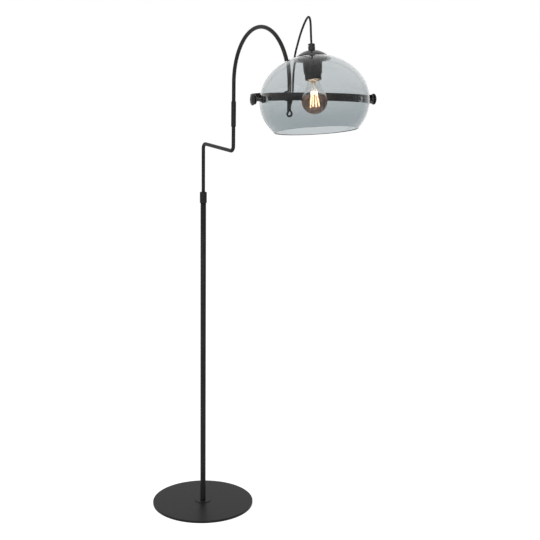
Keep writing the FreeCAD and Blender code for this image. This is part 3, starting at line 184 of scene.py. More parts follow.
def coated(name, dark, light, roughness, texture, depth, mottle=60.0, metallic=0.0, shine=0.5):
    """A surface of one substance: a slow drift between two near colours, a drift of its roughness,
    and a fine bump whose grain is given in millimetres."""
    material, tree, surface, place = new_material(name)
    drift = add(tree, "ShaderNodeTexNoise", {"Scale": grain(mottle), "Detail": 3.0}, Vector=place)
    speckle = add(tree, "ShaderNodeTexNoise", {"Scale": grain(texture), "Detail": 2.0}, Vector=place)
    mixed = add(tree, "ShaderNodeMath", {"operation": "MULTIPLY_ADD", 1: 0.5}, Value=speckle.outputs["Fac"])
    tree.links.new(drift.outputs["Fac"], mixed.inputs[2])
    ramp = add(tree, "ShaderNodeValToRGB", Fac=mixed.outputs["Value"])
    ramp.color_ramp.elements[0].position = 0.5
    ramp.color_ramp.elements[1].position = 1.0
    ramp.color_ramp.elements[0].color = linear(dark)
    ramp.color_ramp.elements[1].color = linear(light)
    tree.links.new(ramp.outputs["Color"], surface.inputs["Base Color"])
    sheen = add(tree, "ShaderNodeMapRange", {"To Min": roughness[0], "To Max": roughness[1]},
                Value=drift.outputs["Fac"])
    tree.links.new(sheen.outputs["Result"], surface.inputs["Roughness"])
    bump = add(tree, "ShaderNodeBump", {"Strength": 1.0, "Distance": depth * MM},
               Height=speckle.outputs["Fac"])
    tree.links.new(bump.outputs["Normal"], surface.inputs["Normal"])
    surface.inputs["Metallic"].default_value = metallic
    surface.inputs["Specular IOR Level"].default_value = shine
    return material


def let_light_through(tree, surface, tint):
    """Shadow rays pass the glass and take on its tint, so what is behind or inside it is lit."""
    passing = add(tree, "ShaderNodeBsdfTransparent")
    tree.links.new(tint, passing.inputs["Color"])
    rays = add(tree, "ShaderNodeLightPath").outputs
    mix = add(tree, "ShaderNodeMixShader", Fac=rays["Is Shadow Ray"])
    tree.links.new(surface.outputs["BSDF"], mix.inputs[1])
    tree.links.new(passing.outputs["BSDF"], mix.inputs[2])
    output = next(node for node in tree.nodes if node.bl_idname == "ShaderNodeOutputMaterial")
    tree.links.new(mix.outputs["Shader"], output.inputs["Surface"])


def tinted_glass(name, tint, tint_and_painted_reflection_span, ripple, wave, ior, haze=0.0):
    """Glass whose tint runs from the first colour at the lower given height to the second at the upper one,
    in millimetres of its own axis. Where the upper colour is lighter, as on the smoked dome, that run is a
    painted reflection of the bright surround.
    It has slow ripples of the given height and length and a milky haze."""
    material, tree, surface, place = new_material(name)
    surface.inputs["Transmission Weight"].default_value = 1.0 - haze
    surface.inputs["IOR"].default_value = ior
    # The tint's run along the glass's height: on the smoked dome its lighter top is a painted reflection
    level = add(tree, "ShaderNodeAttribute", {"attribute_name": "level"})
    rise = add(tree, "ShaderNodeMapRange", {"interpolation_type": "SMOOTHSTEP", "From Min": tint_and_painted_reflection_span[0],
                                            "From Max": tint_and_painted_reflection_span[1]}, Value=level.outputs["Fac"])
    swell = add(tree, "ShaderNodeTexNoise", {"Scale": grain(wave), "Detail": 1.0}, Vector=place)
    shade = add(tree, "ShaderNodeMix", {"data_type": "RGBA"})
    tree.links.new(rise.outputs["Result"], shade.inputs[0])
    shade.inputs[6].default_value = linear(tint[0])
    shade.inputs[7].default_value = linear(tint[1])
    tree.links.new(shade.outputs[2], surface.inputs["Base Color"])
    gloss = add(tree, "ShaderNodeMapRange", {"To Min": 0.0, "To Max": 0.03}, Value=swell.outputs["Fac"])
    tree.links.new(gloss.outputs["Result"], surface.inputs["Roughness"])
    bump = add(tree, "ShaderNodeBump", {"Strength": 1.0, "Distance": ripple * MM},
               Height=swell.outputs["Fac"])
    tree.links.new(bump.outputs["Normal"], surface.inputs["Normal"])
    let_light_through(tree, surface, shade.outputs[2])
    return material


def mirrored_bulb_glass():
    """Bulb glass, blown: clear above; below its mirror edge a thin smoky aluminium film inside."""
    material, tree, surface, place = new_material("crown_mirrored_bulb_glass")
    level = add(tree, "ShaderNodeAttribute", {"attribute_name": "level"})
    wander = add(tree, "ShaderNodeTexNoise", {"Scale": grain(9.0), "Detail": 2.0}, Vector=place)
    edge = add(tree, "ShaderNodeMath", {"operation": "MULTIPLY_ADD", 1: MIRROR_WANDER},
               Value=wander.outputs["Fac"])
    tree.links.new(level.outputs["Fac"], edge.inputs[2])
    film = add(tree, "ShaderNodeMapRange", {
        "From Min": MIRROR_EDGE + MIRROR_FADE, "From Max": MIRROR_EDGE - MIRROR_FULL, "To Min": 0.0,
        "To Max": 1.0}, Value=edge.outputs["Value"])
    colour = add(tree, "ShaderNodeMix", {"data_type": "RGBA"})
    tree.links.new(film.outputs["Result"], colour.inputs[0])
    colour.inputs[6].default_value = linear("f6f6f5")
    colour.inputs[7].default_value = linear("8a776c")
    tree.links.new(colour.outputs[2], surface.inputs["Base Color"])
    clear = add(tree, "ShaderNodeMapRange", {"To Min": 1.0, "To Max": 0.9}, Value=film.outputs["Result"])
    metal = add(tree, "ShaderNodeMapRange", {"To Min": 0.0, "To Max": 0.4}, Value=film.outputs["Result"])
    haze = add(tree, "ShaderNodeMapRange", {"To Min": 0.0, "To Max": 0.07}, Value=film.outputs["Result"])
    tree.links.new(clear.outputs["Result"], surface.inputs["Transmission Weight"])
    tree.links.new(metal.outputs["Result"], surface.inputs["Metallic"])
    tree.links.new(haze.outputs["Result"], surface.inputs["Roughness"])
    surface.inputs["IOR"].default_value = 1.25
    let_light_through(tree, surface, colour.outputs[2])
    return material


def glowing_filament():
    """Phosphor coated filament stick: silicone, moulded, glowing warm white with hotter grains."""
    material, tree, surface, place = new_material("phosphor_filament_coating")
    speckle = add(tree, "ShaderNodeTexNoise", {"Scale": grain(1.2), "Detail": 2.0}, Vector=place)
    glow = add(tree, "ShaderNodeMix", {"data_type": "RGBA"})
    tree.links.new(speckle.outputs["Fac"], glow.inputs[0])
    glow.inputs[6].default_value = linear("ffc48a")
    glow.inputs[7].default_value = linear("fff5e2")
    tree.links.new(glow.outputs[2], surface.inputs["Base Color"])
    tree.links.new(glow.outputs[2], surface.inputs["Emission Color"])
    surface.inputs["Emission Strength"].default_value = 700.0
    surface.inputs["Roughness"].default_value = 0.6
    return material


def finishes():
    """Every finish by the record's slot, and the ones that only the scene uses."""
    return {
        # Steel, powder coated and stoved: satin black with a fine orange peel, drawn at 1.2 mm
        "powder_coated_steel": coated("satin_powder_coat", "201f1f", "2c2a2a", (0.34, 0.44), 1.2, 0.03,
                                      shine=0.1),
        # Steel, enamelled: deep gloss black, nearly flat
        "gloss_black_steel": coated("gloss_black_enamel", "1f1e1e", "2a2828", (0.1, 0.17), 4.0, 0.006,
                                    shine=0.4),
        # Steel, barrel plated with zinc: bluish, softly bright
        "zinc_plated_steel": coated("bright_zinc_plating", "9a9da0", "c3c6c8", (0.2, 0.35), 0.8, 0.01,
                                    metallic=1.0),
        # Brass, turned and left bare: yellow, fine tool marks
        "brass": coated("turned_brass", "b8873a", "d9ae5f", (0.18, 0.34), 0.6, 0.01, metallic=1.0),
        # Brass, rolled and nickel plated: warm silver
        "nickelled_brass": coated("nickel_plate", "b5afa6", "d6d1c9", (0.14, 0.28), 0.8, 0.01,
                                  metallic=1.0),
        # Polyethylene foam, cut: matt black, open cells of about 1 mm
        "foam": coated("closed_cell_foam", "141414", "242424", (0.85, 0.95), 1.0, 0.25),
        # Nitrile rubber, moulded: matt black with a bloom
        "rubber": coated("moulded_rubber", "161616", "262625", (0.55, 0.75), 1.5, 0.02, mottle=12.0),
        # Nylon, moulded without colour: milky white
        "natural_nylon": coated("natural_nylon", "cfcdc5", "e3e1da", (0.35, 0.5), 1.0, 0.02, mottle=10.0),
        # Nylon, moulded black: satin
        "black_nylon": coated("black_nylon", "151515", "202020", (0.4, 0.55), 0.8, 0.02, mottle=12.0),
        # Phenolic, compression moulded: hard black with a soft gloss
        "black_thermoset": coated("moulded_phenolic", "101010", "1a1a1a", (0.22, 0.32), 2.5, 0.012,
                                  mottle=14.0, shine=0.25),
        # Glass filled polyester, injection moulded: satin charcoal black
        "black_thermoplastic": coated("moulded_polyester", "1f1e1e", "292828", (0.36, 0.48), 1.0, 0.02,
                                      mottle=18.0, shine=0.2),
        # Plasticised vinyl, extruded over the cores: smooth satin black
        "cord_sheath": coated("vinyl_sheath", "040404", "0a0a0a", (0.38, 0.5), 1.5, 0.015, mottle=25.0,
                               shine=0.2),
        # Soda glass with a grey body colour, blown and fire polished. Its colour turns lighter towards the
        # crown, a painted reflection of the bright surround. Its index is set low, so that a wall seen edge
        # on stays as clear as in the photograph
        "smoked_glass": tinted_glass("smoked_blown_glass", ("c1c7c9", "dde0e1"), (-60.0, 50.0), 0.02,
                                     45.0, 1.2),
        # Soda glass without colour, drawn: slightly milky, so that the sticks' light shows in it
        "clear_glass": tinted_glass("clear_drawn_glass", ("f4f4f2", "fbfbfa"), (-20.0, 45.0), 0.0, 12.0,
                                    1.2, haze=0.12),
        # Steatite, pressed and fired: white with a faint glaze
        "steatite": coated("fired_steatite", "d4d1c8", "e6e3db", (0.3, 0.5), 1.2, 0.03, mottle=9.0),
        # Lead-free glass, pressed black into the bulb's cap
        "black_vitrite": coated("pressed_vitrite", "0c0c0e", "17171a", (0.12, 0.22), 2.0, 0.02, mottle=6.0),
        "filament_coating": glowing_filament(),
        "bulb_mirror": mirrored_bulb_glass(),
    }


# ---------------------------------------------------------------- shapes

def rounded(corners, steps=5):
    """Outline through corners (x, y, radius): at each a tangent arc of its radius, whose points are
    the centre plus the radius times directions spread evenly from one tangent point to the other."""
    places = np.array([corner[:2] for corner in corners], float)
    runs = []
    for index, corner in enumerate(corners):
        here = places[index]
        radius = corner[2] if len(corner) > 2 else 0
        if not radius:
            runs.append(here[None])
            continue
        back = places[index - 1] - here
        ahead = places[(index + 1) % len(corners)] - here
        back /= np.linalg.norm(back)
        ahead /= np.linalg.norm(ahead)
        half = math.acos(np.clip(back @ ahead, -1, 1)) / 2
        inward = (back + ahead) / np.linalg.norm(back + ahead)
        centre = here + inward * radius / math.sin(half)
        first = here + back * radius / math.tan(half) - centre
        last = here + ahead * radius / math.tan(half) - centre
        share = np.linspace(0, 1, steps + 1)[:, None]
        spread = (1 - share) * first + share * last
        runs.append(centre + radius * spread / np.linalg.norm(spread, axis=1)[:, None])
    return np.concatenate(runs)


def arc(first, middle, last, steps):
    """Points of the circle's arc from the first point through the middle one to the last: the centre
    plus the first radius turned by even shares of the whole angle, in complex numbers."""
    start, via, end = (complex(*point) for point in (first, middle, last))
    ratio = (end - start) / (via - start)
    centre = start - (start - via) * (ratio - abs(ratio) ** 2) / 2j / ratio.imag
    sweep = np.angle((end - centre) / (start - centre))
    points = centre + (start - centre) * np.exp(1j * sweep * np.linspace(0, 1, steps + 1))
    return np.stack([points.real, points.imag], -1)


def grid_faces(rows, columns, wrap_rows=True, wrap_columns=True):
    """Quads of a grid of points kept row by row; a wrapped direction joins its last line to its first."""
    row, column = np.meshgrid(np.arange(rows - (not wrap_rows)), np.arange(columns - (not wrap_columns)),
                              indexing="ij")
    below, beside = (row + 1) % rows, (column + 1) % columns
    near, far = row * columns, below * columns
    return np.stack([near + column, near + beside, far + beside, far + column], -1).reshape(-1, 4)


def turn(outline, count):
    """Outline points (radius r, height z) turned about Z: (r cos a, r sin a, z) at each angle a."""
    angle = np.linspace(0, 2 * np.pi, count, endpoint=False)[:, None]
    radius, height = np.asarray(outline, float).T
    return np.stack([radius * np.cos(angle), radius * np.sin(angle), height + 0 * angle], -1)


def carry(section, path, towards):
    """Section points (side s, rise t) carried along a path: the path's point + s side + t rise, where
    side is square to the path and to the given direction, and rise is square to both."""
    tangent = np.gradient(path, axis=0)
    tangent /= np.linalg.norm(tangent, axis=1)[:, None]
    side = np.cross(tangent, towards)
    side /= np.linalg.norm(side, axis=1)[:, None]
    rise = np.cross(side, tangent)
    return path[:, None] + section[None, :, :1] * side[:, None] + section[None, :, 1:] * rise[:, None]


def circle(radius, count):
    """Points of a circle: its radius times (cos a, sin a) at even angles a."""
    angle = np.linspace(0, 2 * np.pi, count, endpoint=False)
    return radius * np.stack([np.cos(angle), np.sin(angle)], -1)


def piece(name, points, faces, finish, body, nodes, stand=UPRIGHT, crease=32.0, values=None):
    """One object of the lamp: its mesh from points in millimetres of the place it stands at, closed at
    seams and poles, faces outwards; it rides on its body and stands for its CAD nodes."""
    spots = np.asarray(points, float).reshape(-1, 3)
    spots = spots @ np.array(stand.to_3x3()).T + np.array(stand.translation)
    mesh = bpy.data.meshes.new(name)
    mesh.from_pydata((spots * MM).tolist(), [], np.asarray(faces).tolist())
    if values is not None:
        mesh.attributes.new("level", "FLOAT", "POINT").data.foreach_set("value", np.ravel(values))
    shape = bmesh.new()
    shape.from_mesh(mesh)
    bmesh.ops.remove_doubles(shape, verts=shape.verts, dist=1e-6)
    bmesh.ops.delete(shape, geom=[spot for spot in shape.verts if not spot.link_faces], context="VERTS")
    bmesh.ops.recalc_face_normals(shape, faces=shape.faces)
    shape.to_mesh(mesh)
    shape.free()
    mesh.shade_smooth()
    mesh.set_sharp_from_angle(angle=math.radians(crease))
    mesh.materials.append(FINISHES[finish])
    item = bpy.data.objects.new(name, mesh)
    bpy.context.scene.collection.objects.link(item)
    if body:
        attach(item, body)
    if nodes:
        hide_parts(*nodes)
    return item


def weighted(item):
    """Let the large faces lead the shading next to small rounded edges."""
    modifier = item.modifiers.new("shading", "WEIGHTED_NORMAL")
    modifier.keep_sharp = True


def turned(name, outline, finish, body, nodes, stand=UPRIGHT, count=96):
    """A closed outline (radius, height) turned about the Z axis of the place it stands at."""
    points = turn(outline, count)
    weighted(piece(name, points, grid_faces(*points.shape[:2]), finish, body, nodes, stand))


def walled(item, wall, edge=0.0):
    """Give an open surface its wall, inwards, and round the wall's edges if asked."""
    solid = item.modifiers.new("wall", "SOLIDIFY")
    solid.thickness = wall * MM
    solid.offset = -1
    solid.use_even_offset = True
    if edge:
        round_off = item.modifiers.new("edge", "BEVEL")
        round_off.width = edge * MM
        round_off.segments = 3
        round_off.angle_limit = math.radians(55)


def pierced(angles, heights, radius_at, holes, bore):
    """Grid of a turned wall with round holes. A point nearer to a hole's axis than its bore, seen
    square on, is moved out to the bore; a face whose corners all lie inside is left out."""
    angle, height = np.meshgrid(angles, heights, indexing="ij")
    within = np.zeros(angle.shape, bool)
    for facing, level in holes:
        radius = radius_at(height)
        across = radius * np.sin(angle - facing)
        rise = height - level
        gap = np.maximum(np.hypot(across, rise), 1e-6)
        inside = (np.cos(angle - facing) > 0) & (gap < bore)
        height = np.where(inside, level + rise * bore / gap, height)
        moved = np.clip(across * bore / gap / radius_at(height), -1, 1)
        angle = np.where(inside, facing + np.arcsin(moved), angle)
        within |= inside
    radius = radius_at(height)
    points = np.stack([radius * np.cos(angle), radius * np.sin(angle), height], -1)
    faces = grid_faces(*angle.shape, wrap_columns=False)
    return points, faces[~within.ravel()[faces].all(axis=1)]


def gathered(low, high, count, spots, reach, close):
    """Even steps from low to high with closer ones around some spots, within the reach of each."""
    even = np.linspace(low, high, count)
    for spot in spots:
        even = even[np.abs(even - spot) > reach]
    near = [np.linspace(spot - reach, spot + reach, close) for spot in spots]
    return np.sort(np.concatenate([even, *near]))


# ---------------------------------------------------------------- base, pole and rods

def base_and_pole():
    """Plate, rosette and collar as turned outlines; the pole as a cylinder pierced at the cord's inlet."""
    turned("coated_plate", rounded([
        (BOLT_HOLE, PLATE_TOP), (BOLT_HOLE, COUNTERSINK_TOP), (COUNTERSINK_RADIUS, PLATE_LOW),
        (PLATE_RADIUS, PLATE_LOW, 0.8), (PLATE_RADIUS, PLATE_TOP, 1.2)]),
        "powder_coated_steel", "base", ["base_plate"], count=256)
    turned("coated_rosette", rounded([
        (POLE_RADIUS + FIT, PLATE_TOP), (ROSETTE_RADIUS, PLATE_TOP), (ROSETTE_RADIUS, ROSETTE_TOP, 0.7),
        (POLE_RADIUS + FIT, ROSETTE_TOP)]), "powder_coated_steel", "base", ["foot_rosette"])
    angles = np.linspace(0, 2 * np.pi, 64, endpoint=False)
    around_inlet = np.linspace(INLET_HEIGHT - 6, INLET_HEIGHT + 6, 17)
    heights = np.concatenate([[PLATE_TOP, 16, 22], around_inlet, [40, 60, 300, 600, POLE_TOP]])
    points, faces = pierced(angles, heights, lambda height: POLE_RADIUS + 0 * height,
                            [(np.pi, INLET_HEIGHT)], INLET_RADIUS)
    walled(piece("coated_pole", points, faces, "powder_coated_steel", "base", ["pole_tube"]), POLE_WALL)
    turned("coated_collar", rounded([
        (POLE_RADIUS + FIT, COLLAR_LOW), (COLLAR_RADIUS, COLLAR_LOW, 0.6), (COLLAR_RADIUS, COLLAR_TOP, 1.5),
        (COLLAR_BORE, COLLAR_TOP), (COLLAR_BORE, POLE_TOP), (POLE_RADIUS + FIT, POLE_TOP)]),
        "powder_coated_steel", "base", ["collar"])


def rod(name, path, body, nodes):
    """A bent round tube along a path in the plane Y = 0."""
    points = carry(circle(ROD_RADIUS, 40), path, (0.0, 1.0, 0.0))
    faces = grid_faces(*points.shape[:2], wrap_rows=False)
    walled(piece(name, points, faces, "powder_coated_steel", body, nodes), ROD_WALL)


def in_plane(outline):
    """Points (x, z) as points (x, 0, z)."""
    return np.stack([outline[:, 0], 0 * outline[:, 0], outline[:, 1]], -1)


def rods():
    """Crank as straight runs with tangent arcs, arm as a half circle between two straight runs, and the
    turned sleeve and end bush."""
    bent = rounded([(0, CRANK_FOOT), (0, BAR_NEAR, ROD_BEND), (CRANK_REACH, BAR_FAR, ROD_BEND),
                    (CRANK_REACH, CRANK_HEAD)], steps=14)
    rod("coated_crank", in_plane(bent), "crank", ["crank_tube"])
    angle = np.linspace(np.pi, 0, 97)
    arch = np.stack([CRANK_REACH + ARCH_RADIUS + ARCH_RADIUS * np.cos(angle),
                     ARM_SPRING + ARCH_RADIUS * np.sin(angle)], -1)
    bend_low = ARM_SPRING - STRAIGHT_LEAD
    arched = np.concatenate([[(CRANK_REACH, SLEEVE_STEP), (CRANK_REACH, bend_low)], arch,
                             [(ARM_TIP, bend_low), (ARM_TIP, ARM_END)]])
    rod("coated_arm", in_plane(arched), "arm", ["arm_tube"])
    turned("coated_sleeve", rounded([
        (SLEEVE_BORE, SLEEVE_LOW), (SLEEVE_RADIUS, SLEEVE_LOW, 0.4), (SLEEVE_RADIUS, SLEEVE_TOP, 0.5),
        (ROD_RADIUS + FIT, SLEEVE_TOP), (ROD_RADIUS + FIT, SLEEVE_STEP), (SLEEVE_BORE, SLEEVE_STEP)]),
        "powder_coated_steel", "arm", ["swivel_sleeve"], SLEEVE_AXIS)
    flange = ARM_END - BUSH_FLANGE
    turned("nylon_end_bush", rounded([
        (BUSH_BORE, ARM_END), (BUSH_MOUTH, flange, 0.3), (ROD_RADIUS, flange, 0.4), (ROD_RADIUS, ARM_END),
        (BUSH_RADIUS, ARM_END), (BUSH_RADIUS, ARM_END + BUSH_LENGTH), (BUSH_BORE, ARM_END + BUSH_LENGTH)]),
        "black_nylon", "arm", ["arm_end_bush"], TIP_AXIS)


# ---------------------------------------------------------------- bracket and knobs

def bracket():
    """Band as one strip: its middle line runs along the flat and both quarter circles to the hinge
    line and on through the round tabs, whose half height is the square root of R2 - distance2. Its
    section is a square of half side 1 with rounded corners, stretched to the strip's own size."""
    quarter = np.linspace(0, np.pi / 2, 61)
    middle = BLOCK_RADIUS + BAND_THICKNESS / 2
    bend_x = middle + BAND_BEND * (1 - np.cos(quarter))
    bend_y = BAND_FLAT / 2 + BAND_BEND * np.sin(quarter)
    beyond = TAB_RADIUS * np.sin(np.linspace(0.04, np.pi / 2, 16))
    half_x = np.concatenate([np.full(3, middle), bend_x[1:], np.full(16, HINGE_REACH) + beyond])
    half_y = np.concatenate([[0, BAND_FLAT / 4, BAND_FLAT / 2], bend_y[1:], np.full(16, bend_y[-1])])
    from_hinge = np.concatenate([np.full(3, -1e3), -BAND_BEND * (np.pi / 2 - quarter[1:]), beyond])
    disc = np.sqrt(np.maximum(TAB_RADIUS ** 2 - from_hinge ** 2, 0))
    height = np.where(from_hinge > 0, disc, np.maximum(disc, BAND_HALF_HEIGHT))
    line_x = np.concatenate([half_x[:0:-1], half_x])
    line_y = np.concatenate([-half_y[:0:-1], half_y])
    height = np.concatenate([height[:0:-1], height])
    path = np.stack([line_x, line_y, 0 * line_x], -1)
    tangent = np.gradient(path, axis=0)
    tangent /= np.linalg.norm(tangent, axis=1)[:, None]
    outward = np.stack([tangent[:, 1], -tangent[:, 0], 0 * line_x], -1)
    edge = rounded([(x, y, BAND_EDGE) for x, y in ((-1, -1), (1, -1), (1, 1), (-1, 1))], steps=3)
    sign = np.sign(edge)
    turned_off = (edge - sign * (1 - BAND_EDGE)) / BAND_EDGE
    thick = sign[:, 0] * (BAND_THICKNESS / 2 - BAND_EDGE) + BAND_EDGE * turned_off[:, 0]
    tall = (sign[:, 1] * np.maximum(height[:, None] - BAND_EDGE, 0)
            + np.minimum(height[:, None], BAND_EDGE) * turned_off[:, 1])
    points = path[:, None] + outward[:, None] * thick[None, :, None]
    points = points + np.stack([0 * tall, 0 * tall, tall], -1)
    faces = grid_faces(*points.shape[:2], wrap_rows=False)
    weighted(piece("enamelled_band", points, faces, "gloss_black_steel", "bracket", ["band"], BRACKET))


def mushroom(name, face, body, node, stand):
    """A knob: neck, under side, rounded rim and a crown that is part of a sphere."""
    rim_low = face + KNOB_NECK
    rim_high = rim_low + KNOB_RIM
    brow = KNOB_RADIUS - KNOB_EDGE
    crown = face + KNOB_LENGTH
    rise = crown - rim_high - KNOB_EDGE
    ball = (brow ** 2 + rise ** 2) / (2 * rise)
    halfway = (brow / 2, crown - ball + math.sqrt(ball ** 2 - brow ** 2 / 4))
    dome = arc((brow, rim_high + KNOB_EDGE), halfway, (0, crown), 16)
    slant = KNOB_EDGE * math.sqrt(0.5)
    brim = arc((KNOB_RADIUS, rim_high), (brow + slant, rim_high + slant), (brow, rim_high + KNOB_EDGE), 6)
    under = rounded([(INSERT_RADIUS + FIT, face + INSERT_LENGTH), (INSERT_RADIUS + FIT, face),
                     (KNOB_NECK_RADIUS, face, 0.4), (KNOB_NECK_RADIUS, rim_low, 0.8),
                     (KNOB_RADIUS, rim_low, KNOB_EDGE), (KNOB_RADIUS, rim_high)])
    outline = np.concatenate([under[:-1], brim, dome[1:], [(0, face + INSERT_LENGTH)]])
    turned(name, outline, "black_thermoset", body, [node], stand)


def knobs_and_studs():
    """The three knobs, and on each side the stepped stud with its rubber grommet in the glass."""
    mushroom("clamp_knob_moulding", BLOCK_RADIUS + RUNNING_GAP, "clamp_screw", "clamp_knob", BEHIND)
    for side, stand in PIVOTS.items():
        mushroom(f"{side}_knob_moulding", TAB_OUTER + RUNNING_GAP, f"{side}_clamp", f"{side}_knob", stand)
        end = TAB_OUTER + INSERT_LENGTH
        shoulder = TAB_INNER - RUNNING_GAP
        turned(f"{side}_enamelled_stud", rounded([
            (0, STUD_LOW), (STUD_RADIUS, STUD_LOW, 0.5), (STUD_RADIUS, shoulder, 0.4),
            (THREAD_RADIUS, shoulder), (THREAD_RADIUS, end, 0.4), (0, end)]),
            "gloss_black_steel", "shade", [f"{side}_stud"], stand, count=64)
        turned(f"{side}_rubber_grommet", rounded([
            (STUD_RADIUS + FIT, WASHER_TOP), (PIVOT_HOLE - FIT, WASHER_TOP),
            (PIVOT_HOLE - FIT, GROMMET_LOW), (GROMMET_RADIUS, GROMMET_LOW, 0.4),
            (GROMMET_RADIUS, GROMMET_TOP, 0.9), (STUD_RADIUS + FIT, GROMMET_TOP, 0.3)]),
            "rubber", "shade", [f"{side}_grommet"], stand, count=64)


# ---------------------------------------------------------------- shade

def glass():
    """Dome of revolution on the ellipse r = R sqrt(1 - ((z + drop) / H)^2), from the crown's hole to
    the rim, pierced on the hinge line and given its wall inwards."""
    def radius_at(height):
        return GLASS_RADIUS * np.sqrt(np.maximum(1 - ((height + GLASS_DROP) / GLASS_HEIGHT) ** 2, 0))
    top = math.acos(GLASS_HOLE / GLASS_RADIUS)
    low = -math.asin((GLASS_RIM_DROP - GLASS_DROP) / GLASS_HEIGHT)
    hinge = math.asin(GLASS_DROP / GLASS_HEIGHT)
    slopes = gathered(low, top, 72, [hinge], 0.095, 17)
    heights = GLASS_HEIGHT * np.sin(slopes) - GLASS_DROP
    sides = [np.pi / 2, 3 * np.pi / 2]
    angles = gathered(0, 2 * np.pi * (1 - 1 / 180), 180, sides, 0.08, 17)
    points, faces = pierced(angles, heights, radius_at, [(side, 0.0) for side in sides], PIVOT_HOLE)
    dome = piece("blown_glass_dome", points, faces, "smoked_glass", "shade", ["glass_shade"], SHADE,
                 crease=80, values=points[..., 2])
    walled(dome, GLASS_WALL, GLASS_EDGE)


def cap_and_grip():
    """Cap: a shallow arc from the grip to the neck, a straight neck and a sloping ledge over the glass."""
    middle = (CAP_NECK * CAP_BULGE_OUT, CAP_SHOULDER + (CAP_CROWN - CAP_SHOULDER) * CAP_BULGE_UP)
    dome = arc((GRIP_RADIUS, CAP_CROWN), middle, (CAP_NECK, CAP_SHOULDER), 40)
    shoulder = (CAP_NECK - CAP_WALL, CAP_SHOULDER - CAP_WALL / 2)
    inside = arc(shoulder, (middle[0] - CAP_WALL / 2, middle[1] - CAP_WALL),
                 (GRIP_RADIUS, CAP_CROWN - CAP_WALL), 40)
    ledge_low = CAP_LEDGE_OUT - CAP_WALL
    ledge = rounded([
        (CAP_NECK, CAP_SHOULDER), (CAP_NECK, CAP_LEDGE_IN, 0.5), (CAP_RADIUS, CAP_LEDGE_OUT, 0.3),
        (CAP_RADIUS, ledge_low, 0.3), (CAP_RADIUS - CAP_WALL, ledge_low, 0.3),
        (CAP_NECK - CAP_WALL, CAP_LEDGE_IN - CAP_WALL), shoulder])
    outline = np.concatenate([[(NIPPLE_BORE, CAP_CROWN)], dome, ledge[1:-1], inside,
                              [(NIPPLE_BORE, CAP_CROWN - CAP_WALL)]])
    turned("spun_cap", outline, "gloss_black_steel", "shade", ["shade_cap"], SHADE, count=160)
    web = CAP_CROWN + GRIP_WEB
    turned("moulded_grip", rounded([
        (NIPPLE_BORE, CAP_CROWN), (GRIP_RADIUS, CAP_CROWN, 0.4), (GRIP_RADIUS, GRIP_TOP, 1.7),
        (GRIP_BORE, GRIP_TOP, 0.6), (GRIP_BORE, web), (NIPPLE_BORE, web)]),
        "black_thermoplastic", "shade", ["cord_grip"], SHADE)


def lampholder():
    """Two turned shells: the upper one slips over the lower one's spigot and leaves a groove below it."""
    turned("lampholder_upper_shell", rounded([
        (NIPPLE_BORE, HOLDER_TOP), (HOLDER_TOP_RADIUS, HOLDER_TOP, 2.0),
        (HOLDER_JOINT_RADIUS, HOLDER_JOINT, 0.4), (SPIGOT_RADIUS + FIT, HOLDER_JOINT),
        (SPIGOT_RADIUS + FIT, SPIGOT_TOP + HOLDER_WALL), (HOLDER_MOUTH, HOLDER_TOP - HOLDER_WALL),
        (NIPPLE_BORE, HOLDER_TOP - HOLDER_WALL)]),
        "black_thermoplastic", "shade", ["lampholder_cap"], SHADE)
    shoulder = HOLDER_JOINT - HOLDER_GROOVE
    turned("lampholder_lower_shell", rounded([
        (SPIGOT_RADIUS, SPIGOT_TOP), (SPIGOT_RADIUS, shoulder), (HOLDER_JOINT_RADIUS, shoulder, 0.4),
        (HOLDER_LEDGE_RADIUS, HOLDER_LEDGE, 0.4), (HOLDER_RING_RADIUS, HOLDER_LEDGE - 1.0, 0.3),
        (HOLDER_RING_RADIUS - HOLDER_DRAFT, HOLDER_LOW, 2.0), (HOLDER_MOUTH, HOLDER_LOW, 0.5),
        (HOLDER_MOUTH, HOLDER_LOW + HOLDER_WALL), (HOLDER_RING_BORE, HOLDER_LOW + HOLDER_WALL + 2),
        (HOLDER_RING_BORE, HOLDER_LEDGE), (HOLDER_BORE, HOLDER_LEDGE + 2), (HOLDER_BORE, SPIGOT_TOP)]),
        "black_thermoplastic", "shade", ["lampholder_skirt"], SHADE)


def bulb():
    """Bulb: a ball on a waisted neck, an arc through three points; inside it the flared stem."""
    shoulder = (BULB_RADIUS * math.cos(BULB_SHOULDER), BULB_RADIUS * math.sin(BULB_SHOULDER) - BULB_DROP)
    waist = ((BULB_NECK + shoulder[0]) / 2 - BULB_WAIST, (BULB_CAP_LOW + shoulder[1]) / 2 - BULB_WAIST_DROP)
    neck = arc((BULB_NECK, BULB_CAP_LOW), waist, shoulder, 24)
    angle = np.linspace(BULB_SHOULDER, -np.pi / 2, 60)[1:]
    ball = np.stack([BULB_RADIUS * np.cos(angle), BULB_RADIUS * np.sin(angle) - BULB_DROP], -1)
    outline = np.concatenate([[(BULB_NECK, BULB_NECK_TOP)], neck, ball])
    points = turn(outline, 96)
    faces = grid_faces(*points.shape[:2], wrap_columns=False)
    body = piece("blown_bulb", points, faces, "bulb_mirror", "shade", ["bulb_glass"], SHADE, crease=80,
                 values=points[..., 2])
    walled(body, BULB_WALL)
    flare = BULB_NECK - BULB_WALL - FIT
    turned("flared_stem", rounded([
        (0, BULB_NECK_TOP), (flare, BULB_NECK_TOP), (flare, BULB_NECK_TOP - STEM_FLARE, 0.5),
        (STEM_RADIUS * 2, BULB_NECK_TOP - STEM_NECK, 6.0), (STEM_RADIUS, FILAMENT_TOP + 2, 6.0),
        (STEM_RADIUS, STEM_LOW, 1.2), (0, STEM_LOW)]),
        "clear_glass", "shade", ["bulb_stem"], SHADE, count=48)


